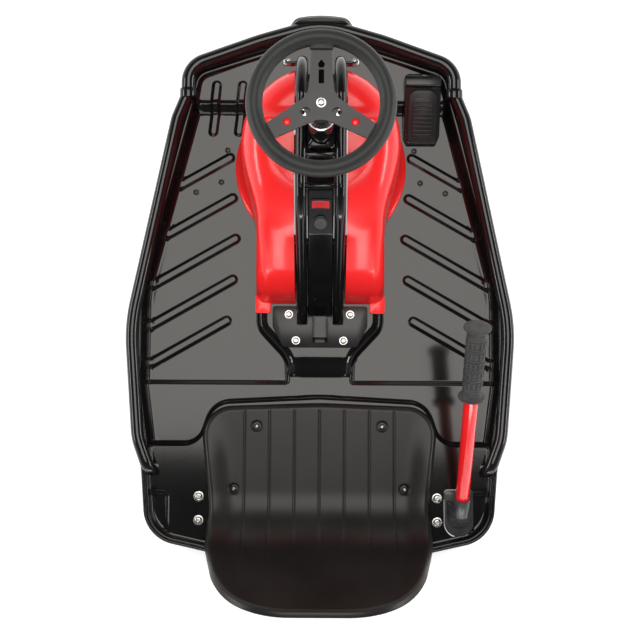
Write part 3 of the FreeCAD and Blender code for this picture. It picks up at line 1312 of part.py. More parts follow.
pedal_plan = outline("pedal_plan", [
    (S.pedal_heel - 4, -S.pedal_outer + S.pedal_inset, S.pedal_round * 0.5),
    (S.pedal_heel + S.pedal_round, -S.pedal_outer, S.pedal_round),
    (skirt_front, -S.pedal_outer, S.pedal_round),
    (skirt_front, -S.pedal_inner, S.pedal_round),
    (S.pedal_heel + S.pedal_round, -S.pedal_inner, S.pedal_round),
    (S.pedal_heel - 4, -S.pedal_inner - S.pedal_inset, S.pedal_round * 0.5)])
pedal_base = node("pedal_base", common(
    "pedal_housing", prism("pedal_block", pedal_base_side, pedal_width + 2, both_ways=True),
    prism("pedal_around", pedal_plan, S.pedal_toe_top, floor_top)))
pedal_rest = S.rest_gap * 1.2
pedal_plate_side = outline("pedal_plate_side", [
    (S.pedal_heel, S.pedal_heel_top + pedal_rest),
    (S.pedal_toe - 2, S.pedal_toe_top - 2 * pedal_slope + pedal_rest),
    (S.pedal_toe - 2, S.pedal_toe_top - 2 * pedal_slope + S.pedal_thick, 3),
    (S.pedal_heel, S.pedal_heel_top + S.pedal_thick, 3)], "XZ", at=(0, pedal_middle, 0))
pedal_plate = node("pedal_plate", prism(
    "pedal_pad", pedal_plate_side, pedal_width - 2 * S.pedal_inset, both_ways=True))

# ------------------------------------------------------------------ seat
seat_low = S.platform_top + S.rest_gap
back_lean = wave("tan", S.seat_recline)


def seat_band(name, low, thick):
    """Side view of the seat: flat base, wide bend and leaning back."""
    knee_low = -S.seat_knee_back - S.seat_thick * 0.5
    spread = as_size(thick) * wave("tan", 45 - S.seat_recline / 2)
    top = S.seat_height
    rise_low, rise_high = top - low, top - low - thick
    return outline(name, [
        (-S.seat_front, low),
        (-S.seat_front, low + thick),
        (knee_low + spread, low + thick, S.seat_knee_round),
        (knee_low + spread - rise_high * back_lean, top),
        (knee_low - rise_low * back_lean, top),
        (knee_low, low, S.seat_knee_round + thick)], "XZ")


seat_plan = outline("seat_plan", both_sides([
    (-S.seat_front, 0),
    (-S.seat_front, S.seat_half, S.seat_front_round),
    (-S.seat_knee_back + 40, S.seat_half - S.seat_waist, 300),
    (-S.guard_front - S.bolster_width, S.seat_half)]))
seat_face = outline("seat_face", [
    (-S.seat_foot_half, 0),
    (S.seat_foot_half, 0),
    (S.seat_top_half, S.seat_height, S.seat_top_round),
    (-S.seat_top_half, S.seat_height, S.seat_top_round)], "YZ")
seat_depth = 2 * S.seat_half + 20
bolster_block = prism("bolster_block", seat_band("bolster_side", seat_low, S.seat_thick + S.bolster_rise),
                      seat_depth, both_ways=True)
seat_shell = node("seat_shell", cut(
    "seat",
    common("seat_form",
           fuse("seat_bands",
                prism("seat_plate", seat_band("seat_side", seat_low, S.seat_thick), seat_depth,
                      both_ways=True),
                cut("bolsters", bolster_block,
                    box("seat_channel", (-S.guard_front - 50, 0),
                        (-S.seat_half + S.bolster_width, S.seat_half - S.bolster_width),
                        (0, S.seat_height + 50)))),
           prism("seat_plan_block", seat_plan, S.seat_height + 10, 0),
           prism("seat_face_block", seat_face, 4 * S.guard_front, both_ways=True)),
    *[rod(f"seat_hole_{number}", S.seat_bolt_radius, 60, (-x, y, S.platform_top - 10))
      for number, (x, y) in enumerate([
          (S.seat_bolt_front, S.seat_bolt_front_half), (S.seat_bolt_front, -S.seat_bolt_front_half),
          (S.seat_bolt_rear, S.seat_bolt_rear_half), (S.seat_bolt_rear, -S.seat_bolt_rear_half)])]))

# ------------------------------------------------------------------ check and write
doc.recompute()
faults = [thing.Name for thing in doc.Objects
          if "Invalid" in thing.State or "Error" in thing.State]
faults += [name for name, thing in NODES.items()
           if thing.Shape.isNull() or not thing.Shape.isValid() or not thing.Shape.Solids]
if faults:
    raise RuntimeError("failed objects: " + ", ".join(faults))
os.makedirs("parts", exist_ok=True)
for name, thing in NODES.items():
    thing.Shape.exportStep(f"parts/{name}.step")
    print(f"{name}: {len(thing.Shape.Solids)} solid(s), {thing.Shape.Volume / 1000:.1f} cm3")
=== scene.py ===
import math

import bmesh
import bpy
import numpy as np
from mathutils import Matrix, Vector, geometry


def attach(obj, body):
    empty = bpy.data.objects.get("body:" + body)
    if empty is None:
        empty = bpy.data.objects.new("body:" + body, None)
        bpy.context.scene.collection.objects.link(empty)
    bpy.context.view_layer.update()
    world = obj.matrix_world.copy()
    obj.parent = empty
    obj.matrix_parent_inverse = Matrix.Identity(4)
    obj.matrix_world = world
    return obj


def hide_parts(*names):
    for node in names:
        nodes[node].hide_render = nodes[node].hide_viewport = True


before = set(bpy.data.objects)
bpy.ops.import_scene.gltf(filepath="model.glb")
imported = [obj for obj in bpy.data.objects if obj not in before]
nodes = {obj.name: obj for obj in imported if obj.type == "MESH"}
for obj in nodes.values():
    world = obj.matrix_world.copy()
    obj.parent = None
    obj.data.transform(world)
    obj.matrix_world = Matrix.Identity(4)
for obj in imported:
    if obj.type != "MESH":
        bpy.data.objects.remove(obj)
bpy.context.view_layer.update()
scene = bpy.context.scene
collection = scene.collection

# ---------------------------------------------------------------- the view
# A camera over the seat's front edge, nearly straight down and tipped a little
# towards the nose, far enough back that the whole kart is in the square frame.
def place(name, data):
    """Puts a thing made of this data into the scene."""
    made = bpy.data.objects.new(name, data)
    collection.objects.link(made)
    return made


camera_back = 0.219
camera_height = 2.075
camera_tip = math.radians(5.42)
camera_roll = math.radians(0.32)
camera_data = bpy.data.cameras.new("over_the_seat")
camera_data.lens = 62.2
camera_data.sensor_width = 36
camera = place("over_the_seat", camera_data)
right = Vector((0, -1, 0))
up = Vector((math.cos(camera_tip), 0, math.sin(camera_tip)))
turn = Matrix((right, up, right.cross(up))).transposed().to_4x4() @ Matrix.Rotation(camera_roll, 4, "Z")
camera.matrix_world = Matrix.Translation((-camera_back, 0, camera_height)) @ turn
scene.camera = camera
scene.view_settings.view_transform = "Standard"


# ---------------------------------------------------------------- the studio
# A pale sweep of floor, a soft box over the nose, strips at the sides and behind,
# a wide fill above and a bright horizon: glossy black shows them as pale bands.
class Wire:
    """A value that runs between nodes and can be written in sums and products."""

    def __init__(self, tree, socket):
        self.tree = tree
        self.socket = socket

    def out(self, name):
        """Another output of the same node."""
        return Wire(self.tree, self.socket.node.outputs[name])

    def maths(self, sign, *values):
        """A Math node that works on these values."""
        return self.tree.add("ShaderNodeMath", {"operation": sign}, dict(enumerate(values)))

    def __add__(self, other):
        return self.maths("ADD", self, other)

    def __radd__(self, other):
        return self.maths("ADD", other, self)

    def __sub__(self, other):
        return self.maths("SUBTRACT", self, other)

    def __rsub__(self, other):
        return self.maths("SUBTRACT", other, self)

    def __mul__(self, other):
        return self.maths("MULTIPLY", self, other)

    def __rmul__(self, other):
        return self.maths("MULTIPLY", other, self)

    def __abs__(self):
        return self.maths("ABSOLUTE", self, 0)


class Tree:
    """A node tree and the one way in which nodes are put into it."""

    def __init__(self, tree):
        self.tree = tree

    def add(self, kind, settings=None, sockets=None):
        """Adds a node, makes its settings first, then feeds its sockets by name or number."""
        made = self.tree.nodes.new(kind)
        for name, value in (settings or {}).items():
            if name == "stops":
                ramp = made.color_ramp
                while len(ramp.elements) < len(value):
                    ramp.elements.new(0.5)
                for element, (place, shade) in zip(ramp.elements, value):
                    element.position = place
                    element.color = (*(shade if isinstance(shade, tuple) else (shade,) * 3), 1)
            else:
                setattr(made, name, value)
        for name, value in (sockets or {}).items():
            target = (made.inputs[name] if isinstance(name, int)
                      else next(s for s in made.inputs if s.enabled and s.name == name))
            if isinstance(value, Wire):
                self.tree.links.new(value.socket, target)
            else:
                target.default_value = value
        results = [socket for socket in made.outputs if socket.enabled]
        return Wire(self, results[0] if results else None)


def studio_floor():
    """The sweep under the kart, which the soft box lifts to white."""
    reach = 9
    mesh = bpy.data.meshes.new("studio_floor")
    mesh.from_pydata([(-reach, -reach, 0), (reach, -reach, 0), (reach, reach, 0), (-reach, reach, 0)],
                     [], [(0, 1, 2, 3)])
    sweep = place("studio_floor", mesh)
    paint = bpy.data.materials.new("studio_paint")
    paint.use_nodes = True
    shader = paint.node_tree.nodes["Principled BSDF"]
    shader.inputs["Base Color"].default_value = (0.92, 0.92, 0.92, 1)
    shader.inputs["Roughness"].default_value = 0.9
    shader.inputs["Emission Color"].default_value = (1, 1, 1, 1)
    shader.inputs["Emission Strength"].default_value = 0.4
    mesh.materials.append(paint)


def soft_box(name, at, size, power, colour=(1, 1, 1), aim=None):
    """A flat lamp with a soft face."""
    lamp = bpy.data.lights.new(name, "AREA")
    lamp.shape = "RECTANGLE"
    lamp.size, lamp.size_y = size
    lamp.energy = power
    lamp.color = colour
    holder = place(name, lamp)
    holder.location = at
    if aim:
        holder.rotation_euler = (Vector(aim) - Vector(at)).to_track_quat("-Z", "Y").to_euler()
    return holder


studio_floor()
soft_box("box_over_nose", (0.75, 0, 4.0), (2.2, 2.3), 60, (1.0, 0.96, 0.91))
soft_box("strip_left", (0.3, 3.2, 1.6), (2.6, 0.45), 36, aim=(0, 0, 0.2))
soft_box("strip_right", (0.3, -3.2, 1.6), (2.6, 0.45), 36, aim=(0, 0, 0.2))
box_behind = soft_box("box_behind", (-1.75, 0, 1.6), (0.5, 1.9), 14, aim=(0, 0, 0.24))
fill_above = soft_box("fill_above", (0, 0, 4.4), (3, 3), 82)
fill_above.visible_glossy = False
soft_box("strip_behind", (-3, 0, 0.6), (3, 0.35), 23, aim=(0, 0, 0.1))
world = bpy.data.worlds.new("studio_air")
scene.world = world
world.use_nodes = True
air = Tree(world.node_tree)
heading = air.add("ShaderNodeTexCoord").out("Generated")
height = air.add("ShaderNodeSeparateXYZ", {}, {"Vector": heading}).out("Z")
brightness = [(0.0, 0.95), (0.25, 0.8), (0.55, 0.12), (1.0, 0.02)]
glow = air.add("ShaderNodeValToRGB", {"stops": brightness}, {"Fac": height})
world.node_tree.links.new(glow.socket, world.node_tree.nodes["Background"].inputs["Color"])


# ---------------------------------------------------------------- frame under the floor
# Steel tubes with a saddle, a rear deck plate and bumper straps, welded together
# and powder coated; blocks with the drift shaft's bearings hang from the plate.
def finish(name, colours, roughness, patch=0.09, uneven=0.05, metallic=0.0, grain=0.0, grain_size=0.0012,
           coat=0.0, specular=0.5):
    """A finish that wanders between two colours over patches, with a fine grain (all sizes in metres)."""
    made = bpy.data.materials.new(name)
    made.use_nodes = True
    tree = Tree(made.node_tree)
    shader = made.node_tree.nodes["Principled BSDF"]
    shader.inputs["Metallic"].default_value = metallic
    shader.inputs["Coat Weight"].default_value = coat
    shader.inputs["Coat Roughness"].default_value = 0.05
    shader.inputs["Specular IOR Level"].default_value = specular

    def feed(socket, wire):
        """Runs a value into one of the shader's sockets."""
        made.node_tree.links.new(wire.socket, shader.inputs[socket])

    where = tree.add("ShaderNodeTexCoord").out("Object")
    cloud = tree.add("ShaderNodeTexNoise", {}, {"Vector": where, "Scale": 1 / patch, "Detail": 4.0})
    fine = tree.add("ShaderNodeTexNoise", {}, {"Vector": where, "Scale": 1 / grain_size, "Detail": 2.0})
    stops = [(0.35, colours[0]), (0.65, colours[1])]
    tint = tree.add("ShaderNodeValToRGB", {"stops": stops}, {"Fac": cloud})
    feed("Base Color", tint)
    feed("Roughness", roughness + (cloud - 0.5) * uneven + (fine - 0.5) * (uneven * 0.5))
    if grain:
        feed("Normal", tree.add("ShaderNodeBump", {}, {"Strength": 0.6, "Distance": grain, "Height": fine}))
    return made


def dress(material, *names):
    """Gives solids that keep their shape their finish."""
    for name in names:
        nodes[name].data.materials.clear()
        nodes[name].data.materials.append(material)


frame_paint = finish("frame_paint", [(0.02, 0.02, 0.021), (0.028, 0.028, 0.03)], 0.38, grain=0.00012)
bearing_paint = finish("bearing_paint", [(0.03, 0.03, 0.032), (0.05, 0.05, 0.052)], 0.5, grain=0.0002)
dress(frame_paint, "subframe")
dress(bearing_paint, "pivot_blocks")


# ---------------------------------------------------------------- floor pan
# One large sheet of glossy black plastic, formed over a mould: a rolled lip with a
# groove, leaning walls, footwells with ribs, a raised spine bed and a rear platform.
MM = 0.001


def unit(vector):
    """A vector made 1 long."""
    return vector / np.linalg.norm(vector)


def units(vectors):
    """Rows of vectors, each made 1 long."""
    return vectors / np.linalg.norm(vectors, axis=1)[:, None]


def turns(count):
    """Equal steps of angle round a full turn."""
    return np.linspace(0, 2 * math.pi, count, endpoint=False)


def circle(count):
    """Points on a circle of radius 1."""
    return np.stack([np.cos(turns(count)), np.sin(turns(count))], 1)


def oblong(low, high, low_round, high_round=None):
    """Corners of a rectangle in plan; those at high x may be rounded differently."""
    other = low_round if high_round is None else high_round
    return [(low[0], low[1], low_round), (high[0], low[1], other),
            (high[0], high[1], other), (low[0], high[1], low_round)]


def both_sides(half):
    """Corners of the left half, carried round to the right."""
    return half + [(x, -y, *rounding) for x, y, *rounding in reversed(half) if y]


def rounded(corners, step=4.0, closed=True, finest=12.0):
    """Points along straight runs with rounded corners, and the headings there (millimetres, degrees)."""
    spots = [np.array(corner[:2], float) for corner in corners]
    joints = []
    for index, corner in enumerate(corners):
        here, ahead = spots[index], spots[(index + 1) % len(spots)]
        if len(corner) < 3 or (not closed and index in (0, len(corners) - 1)):
            joints.append([here])
            continue
        before, after = unit(spots[index - 1] - here), unit(ahead - here)
        half = math.acos(np.clip(before @ after, -1, 1)) / 2
        centre = here + unit(before + after) * corner[2] / math.sin(half)
        arms = [here + arm * corner[2] / math.tan(half) - centre for arm in (before, after)]
        turn = math.pi - 2 * half
        if arms[0][0] * arms[1][1] - arms[0][1] * arms[1][0] < 0:
            turn = -turn
        count = max(2, math.ceil(abs(turn) * corner[2] / step),
                    math.ceil(abs(math.degrees(turn)) / finest))
        joints.append([])
        for angle in np.linspace(0, turn, count + 1):
            cos, sin = math.cos(angle), math.sin(angle)
            x, y = arms[0]
            joints[-1].append(centre + np.array([x * cos - y * sin, x * sin + y * cos]))
    points = []
    for index, joint in enumerate(joints):
        points += joint
        if closed or index < len(joints) - 1:
            start, end = joint[-1], joints[(index + 1) % len(joints)][0]
            count = max(1, round(np.linalg.norm(end - start) / step))
            points += [start + (end - start) * part / count for part in range(1, count)]
    points = np.array(points)
    ahead = np.roll(points, -1, 0) - points
    behind = points - np.roll(points, 1, 0)
    if not closed:
        ahead[-1], behind[0] = behind[-1], ahead[0]
    return points, units(units(ahead) + units(behind))


def shifted(line, inwards):
    """A line moved to the left of its heading, which is inwards on a loop that runs anticlockwise."""
    points, heading = line
    return points + np.stack([-heading[:, 1], heading[:, 0]], 1) * inwards


def level(line, height):
    """A line in plan at a height, or at a height for each point."""
    return np.column_stack([line, np.broadcast_to(height, len(line))])


def beside(loop, insets):
    """Closed lines at these distances inside a loop, for a sheet's skin to follow."""
    return [(shifted(loop, inset), True) for inset in insets]


def ease(amount):
    """Runs smoothly from 0 to 1."""
    amount = np.clip(amount, 0, 1)
    return amount * amount * (3 - 2 * amount)


def depth_in(points, loop):
    """How far points lie inside a loop; negative outside."""
    inside = np.zeros(len(points), bool)
    nearest = np.full(len(points), 1e9)
    for start, end in zip(loop, np.roll(loop, -1, 0)):
        run = end - start
        length = max(run @ run, 1e-12)
        along = np.clip((points - start) @ run / length, 0, 1)
        nearest = np.minimum(nearest, np.linalg.norm(points - start - along[:, None] * run, axis=1))
        crosses = (start[1] > points[:, 1]) != (end[1] > points[:, 1])
        if crosses.any():
            reach = start[0] + (points[:, 1] - start[1]) * run[0] / (run[1] or 1e-12)
            inside ^= crosses & (points[:, 0] < reach)
    return np.where(inside, nearest, -nearest)


def filled_sheet(edge, holes, lines, pitch):
    """Triangles inside an edge and outside holes that follow every line; returns points and triangles."""
    margin = pitch * 0.12
    spots, runs = [edge], [(np.arange(len(edge)), True)]
    for hole in holes:
        runs.append((sum(map(len, spots)) + np.arange(len(hole)), True))
        spots.append(hole)
    for line, closed in lines:
        clear = depth_in(line, edge) > margin
        for hole in holes:
            clear &= depth_in(line, hole) < -margin
        base = sum(map(len, spots))
        spots.append(line)
        numbers = base + np.arange(len(line))
        runs.append((np.where(clear, numbers, -1), closed))
    crowd = np.concatenate(spots)
    low, high = edge.min(0), edge.max(0)
    columns = np.arange(low[0], high[0], pitch)
    rows = np.arange(low[1], high[1], pitch)
    grid = np.array([(x, y + (pitch / 2 if index % 2 else 0))
                     for index, x in enumerate(columns) for y in rows])
    grid = grid[depth_in(grid, edge) > pitch * 0.4]
    keep = np.ones(len(grid), bool)
    for part in np.array_split(np.arange(len(grid)), max(1, len(grid) // 200)):
        gaps = np.linalg.norm(grid[part][:, None] - crowd[None], axis=2).min(1)
        keep[part] = gaps > pitch * 0.45
    edges, used = [], set()
    for numbers, closed in runs:
        pairs = list(zip(numbers, np.roll(numbers, -1)))
        for start, end in pairs if closed else pairs[:-1]:
            if start >= 0 and end >= 0:
                edges.append((int(start), int(end)))
                used.update((int(start), int(end)))
    order = {old: new for new, old in enumerate(sorted(used))}
    inputs = [Vector(crowd[old]) for old in sorted(used)] + [Vector(spot) for spot in grid[keep]]
    edges = [(order[start], order[end]) for start, end in edges]
    made, _, faces, *_ = geometry.delaunay_2d_cdt(inputs, edges, [], 0, 1e-4)
    points = np.array([tuple(spot) for spot in made])
    faces = np.array([face for face in faces if len(face) == 3])
    middle = points[faces].mean(1)
    keep = depth_in(middle, edge) > 0
    for hole in holes:
        keep &= depth_in(middle, hole) < 0
    return points, faces[keep]


def bake(thing):
    """Puts the result of a thing's modifiers into its mesh."""
    depsgraph = bpy.context.evaluated_depsgraph_get()
    result = bpy.data.meshes.new_from_object(thing.evaluated_get(depsgraph))
    thing.modifiers.clear()
    thing.data = result


def thicken(thing, thickness):
    """Gives a skin a wall that lies under its faces."""
    wall = thing.modifiers.new("wall", "SOLIDIFY")
    wall.thickness = thickness * MM
    wall.offset = -1
    bake(thing)


def smooth(mesh, crease):
    """Shades a mesh as one skin, apart from edges that turn by more than so many degrees."""
    mesh.polygons.foreach_set("use_smooth", [True] * len(mesh.polygons))
    mesh.set_sharp_from_angle(angle=math.radians(crease))


def solid_sheet(name, points, faces, material, thickness, crease=40):
    """Turns points in millimetres and faces into a walled sheet that lies under its faces."""
    weld = 0.02
    mesh = bpy.data.meshes.new(name)
    mesh.from_pydata((np.asarray(points) * MM).tolist(), [], [list(map(int, face)) for face in faces])
    form = bmesh.new()
    form.from_mesh(mesh)
    bmesh.ops.remove_doubles(form, verts=form.verts, dist=weld * MM)
    form.to_mesh(mesh)
    form.free()
    mesh.materials.append(material)
    made = place(name, mesh)
    thicken(made, thickness)
    smooth(made.data, crease)
    return made


def settle(thing, body, slot, *replaced):
    """Hangs a piece on the body that it moves with and hides the solids that it stands for; its kind of
    finish (slot) is not used.
    """
    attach(thing, body)
    if replaced:
        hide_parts(*replaced)
    return thing


floor_top, midfloor_top, plateau_top, platform_top, lip_top = 80.0, 86.0, 98.0, 114.0, 125.0
mid_step, ramp_start, plateau_front = -139, -98, 118
shelf_start, riser_radius = 345, 161
rib_height, pocket_depth, pocket_inner_depth = 4.2, 2.2, 2.4
wheel_hole_radius = 132
wall_lean = math.tan(math.radians(9))
wheel_at = np.array([250.0, 0.0])
pan_lip = rounded(both_sides([
    (497, 0, 150), (421, 232, 40), (20, 333, 200), (-150, 333, 200), (-300, 312, 200), (-416, 303, 65),
    (-484, 0, 300)]), 3.2)
platform_edge = rounded(both_sides([
    (-168, 0), (-178, 190, 45), (-251, 215, 35), (-251, 355), (-520, 355)]), 4.0)
plateau_edge = rounded(both_sides([(112, 112), (-46, 112, 38), (-103, 59, 42), (-168, 59)]), 4.0)
pocket_edge = rounded([(-334, 263, 12), (-334, 345), (-434, 345), (-414, 263, 8)], 4.0)
slot_edge = rounded([(-331, -271, 6), (-331, -219, 6), (-414, -219, 25), (-414, -271, 25)], 4.0)
wheel_hole = wheel_at + wheel_hole_radius * circle(96)


def capsule(at, degrees, length, half):
    """The outline of a rib: a straight bar with round ends, from its first end's middle."""
    turn = math.radians(degrees)
    spin = np.array([[math.cos(turn), -math.sin(turn)], [math.sin(turn), math.cos(turn)]])
    points, heading = rounded(oblong((-half, -half), (length + half, half), half * 0.98), 5.0)
    return points @ spin.T + at, heading @ spin.T


footwell_ribs = [capsule((268 - 75 * number, (155 + inner) * side), 120 * side, 215 - inner, 9)
                 for side in (1, -1) for number, inner in enumerate((12, 6, 0, 4, 14))]
toe_ribs = [capsule((317, across), -6.4, 78, 8.5) for across in (198, 151)]


def shelf_height(x):
    """The front shelf along the middle: a steep riser, a slope and a level rim."""
    slope = np.interp(x, [351, 362.5, 432, 497], [80, 107.5, 118.5, 120.5])
    return slope - 1.6 * np.exp(-((x - 361) / 4.5) ** 2) + 1.4 * np.exp(-((x - 352) / 4.0) ** 2)


def floor_height(points):
    """Height of the moulded floor at any place inside the walls."""
    x, y = points[:, 0], points[:, 1]
    height = floor_top + (midfloor_top - floor_top) * ease((mid_step - x) / 9)
    ramp = plateau_top - (plateau_top - midfloor_top) * ease((ramp_start - x) / 36)
    inside = depth_in(points, plateau_edge[0])
    height += (ramp - height) * ease((inside + 3) / 8) * (x < plateau_front)
    bead = 1.6 * (np.exp(-((inside - 8.5) / 2.2) ** 2) - 0.8 * np.exp(-((inside - 13) / 2.0) ** 2))
    height += bead * ((x > -128) & (x < plateau_front))
    height += (platform_top - height) * ease((depth_in(points, platform_edge[0]) + 3.5) / 10)
    from_dome = np.linalg.norm(points - wheel_at, axis=1)
    shelf = shelf_height(x)
    height += np.where(x > shelf_start, (shelf - height) * ease((from_dome - riser_radius) / 5), 0)
    for rib in footwell_ribs + toe_ribs:
        near = np.abs(points - rib[0].mean(0)).max(1) < 140
        if near.any():
            height[near] += rib_height * ease((depth_in(points[near], rib[0]) + 0.3) / 4.6)
    for side in (1, -1):
        corner = np.stack([x, y * side], 1)
        sunk = depth_in(corner, pocket_edge[0])
        height -= pocket_depth * ease((sunk + 1) / 3.4) + pocket_inner_depth * ease((sunk - 5) / 3)
    return height


# The lip is narrower round the back, and the wall's rounded foot meets the floor at the floor's
# own height all the way round, which a few rounds of trying settle.
lip_points = pan_lip[0]
rear_narrowing = ease((-lip_points[:, 0] - 282) / 34)
band = 16.5 - 5.5 * rear_narrowing
wall_head, foot_radius = 122.4, 6.0
foot_round = np.full(len(lip_points), foot_radius)
foot_height = np.full(len(lip_points), floor_top)
for _ in range(4):
    foot_inset = band + (wall_head - foot_height) * wall_lean + foot_round
    foot_height = floor_height(shifted(pan_lip, foot_inset[:, None]))
    foot_round = np.minimum(foot_radius, (wall_head - foot_height) * 0.5)
# Rings from the lip's outer edge over its groove, down the wall and round the foot.
lip_profile = [(0.5, 118.6), (0.0, 120.4), (0.0, 122.2), (0.7, 123.8), (1.9, 124.7), (3.4, lip_top),
               (5.2, lip_top), (6.1, 124.5), (6.8, 123.3), (7.6, 123.3), (8.3, 124.5), (9.2, lip_top)]
rings = [level(shifted(pan_lip, inset * (1 - 0.25 * rear_narrowing)[:, None]), height)
         for inset, height in lip_profile]
for back, height in ((2.6, lip_top), (1.1, 124.5), (0.2, 123.5), (0.0, wall_head)):
    rings.append(level(shifted(pan_lip, (band - back)[:, None]), height))
for part in (0.25, 0.5, 0.75, 1.0):
    height = wall_head + (foot_height + foot_round - wall_head) * part
    rings.append(level(shifted(pan_lip, (band + (wall_head - height) * wall_lean)[:, None]), height))
for part in (0.2, 0.4, 0.6, 0.8, 1.0):
    corner_inset = band + (wall_head - foot_height) * wall_lean
    start_inset = corner_inset - foot_round * wall_lean
    inset = start_inset * (1 - part) ** 2 + 2 * corner_inset * part * (1 - part) + foot_inset * part ** 2
    height = (foot_height + foot_round) * (1 - part) ** 2 + foot_height * (1 - (1 - part) ** 2)
    rings.append(level(shifted(pan_lip, inset[:, None]), height))
floor_edge = shifted(pan_lip, (foot_inset + 1.8)[:, None])
rings.append(level(floor_edge, floor_height(floor_edge)))
ring_size = len(lip_points)
pan_points = np.concatenate(rings)
pan_faces = [(row * ring_size + spot, row * ring_size + (spot + 1) % ring_size,
              (row + 1) * ring_size + (spot + 1) % ring_size, (row + 1) * ring_size + spot)
             for row in range(len(rings) - 1) for spot in range(ring_size)]

# The level part is filled with triangles that follow every rib, step and corner.
guides = []
for rib in footwell_ribs + toe_ribs:
    guides += beside(rib, (-1.9, -0.5, 0.8, 2.1, 3.4, 4.5, 5.8))
guides += beside(platform_edge, (-5.6, -3.7, -2, 0, 2, 4, 6.6, 8.6))
guides += beside(plateau_edge, (-5, -3.2, -1.2, 1, 3.2, 5.2, 7, 8.5, 10, 11.5, 13, 14.5, 17, 19))
for side in (1, -1):
    guides += [(line * (1, side), closed)
               for line, closed in beside(pocket_edge, (-2.4, -0.9, 0.6, 2, 3.4, 5, 6.4, 8, 9.6))]
across = np.arange(-335, 335, 9.0)
step_lines = (-136.8, -139, -141.5, -143.5, -145.5, -148.2, -150.4)
ramp_lines = (-97, -102, -110, -120, -130, -134.5)
shelf_lines = (347, 349.5, 351.5, 353.5, 356, 359, 361, 363, 365.5, 369, 376, 426, 432, 438)
for x in step_lines + ramp_lines + shelf_lines:
    guides.append((np.column_stack([np.full(len(across), float(x)), across]), False))
for radius in (159, 160.7, 162, 163.5, 165, 167):
    turn = np.radians(np.arange(-52, 53, 2.0))
    guides.append((wheel_at + radius * np.stack([np.cos(turn), np.sin(turn)], 1), False))
flat_points, flat_faces = filled_sheet(rings[-1][:, :2], [wheel_hole, slot_edge[0][::-1]], guides, 11.0)
pan_faces += [tuple(face + len(pan_points)) for face in flat_faces]
pan_points = np.concatenate([pan_points, level(flat_points, floor_height(flat_points))])
pan_plastic = finish("pan_plastic", [(0.005, 0.005, 0.0052), (0.008, 0.0077, 0.0075)], 0.11, patch=0.16,
                     uneven=0.05, grain=0.00002, grain_size=0.004)
floor_pan = solid_sheet("moulded_floor_pan", pan_points, pan_faces, pan_plastic, 4.0)
settle(floor_pan, "chassis", "pan_plastic", "floor_pan")


# ---------------------------------------------------------------- front hoop and nose guard
# A steel tube bent round the nose and painted gloss black, with sleeves at its ends
# for the side rails; a moulded guard is clipped over it at the nose.
class Form:
    """A closed shape put together from tubes, turned pieces and plates, in millimetres."""

    def __init__(self):
        self.mesh = bmesh.new()

    def skin(self, rings, closed=False):
        """Joins rings of equal size, and closes both ends unless the rings come round again."""
        rows = [[self.mesh.verts.new(Vector(spot) * MM) for spot in ring] for ring in rings]
        size = len(rows[0])
        for first, second in zip(rows, rows[1:] + rows[:1] if closed else rows[1:]):
            for spot in range(size):
                after = (spot + 1) % size
                self.mesh.faces.new((first[spot], first[after], second[after], second[spot]))
        if not closed:
            self.mesh.faces.new(rows[0][::-1])
            self.mesh.faces.new(rows[-1])
        return [corner for row in rows for corner in row]

    def tube(self, path, radius, around=24):
        """A round bar along a line of points."""
        path = np.asarray(path, float)
        radius = np.broadcast_to(np.asarray(radius, float), len(path))
        run = np.gradient(path, axis=0)
        run /= np.linalg.norm(run, axis=1)[:, None]
        side = np.cross(run[0], (0.3, 0.2, 0.93))
        rings = []
        for spot, heading, size in zip(path, run, radius):
            side = unit(side - heading * (side @ heading))
            other = np.cross(heading, side)
            rings.append([spot + size * (side * math.cos(turn) + other * math.sin(turn))
                          for turn in turns(around)])
        return self.skin(rings)

    def turned(self, profile, at, axis=(0, 0, 1), around=48, closed=False):
        """A profile of radius and height turned round an axis."""
        up = unit(np.asarray(axis, float))
        side = unit(np.cross(up, (0.21, 0.95, 0.13)))
        other = np.cross(up, side)
        ways = [side * math.cos(turn) + other * math.sin(turn) for turn in turns(around)]
        return self.skin([[np.asarray(at) + up * height + radius * way for way in ways]
                          for radius, height in profile], closed)

    def plate(self, outline, low, high, soften=1.0):
        """A flat outline with rounded edges, from one height to the other."""
        edge = (outline, units(np.roll(outline, -1, 0) - np.roll(outline, 1, 0)))
        steps = [(1.0, 0.0), (0.3, 0.3), (0.0, 1.0)]
        rings = [level(shifted(edge, soften * inset), low + soften * rise) for inset, rise in steps]
        rings += [level(shifted(edge, soften * inset), high - soften * rise)
                  for inset, rise in reversed(steps)]
        return self.skin(rings)

    def block(self, low, high, soften=1.0, corner=2.0):
        """A block with rounded edges."""
        plan = rounded(oblong(low, high, corner), 60.0, finest=22.5)[0]
        return self.plate(plan, low[2], high[2], soften)

    def side_block(self, side, low, high, soften, corner):
        """A block given for the left side, left there or carried over to the right."""
        near, far = sorted((low[1] * side, high[1] * side))
        return self.block((low[0], near, low[2]), (high[0], far, high[2]), soften, corner)

    def moved(self, spots, change):
        """Turns or shifts what was just added."""
        bmesh.ops.transform(self.mesh, matrix=change, verts=spots)

    def made(self, name, material, crease=38):
        """The finished object."""
        weld = 0.004
        bmesh.ops.remove_doubles(self.mesh, verts=self.mesh.verts, dist=weld * MM)
        bmesh.ops.recalc_face_normals(self.mesh, faces=self.mesh.faces)
        result = bpy.data.meshes.new(name)
        self.mesh.to_mesh(result)
        self.mesh.free()
        result.materials.append(material)
        smooth(result, crease)
        return place(name, result)


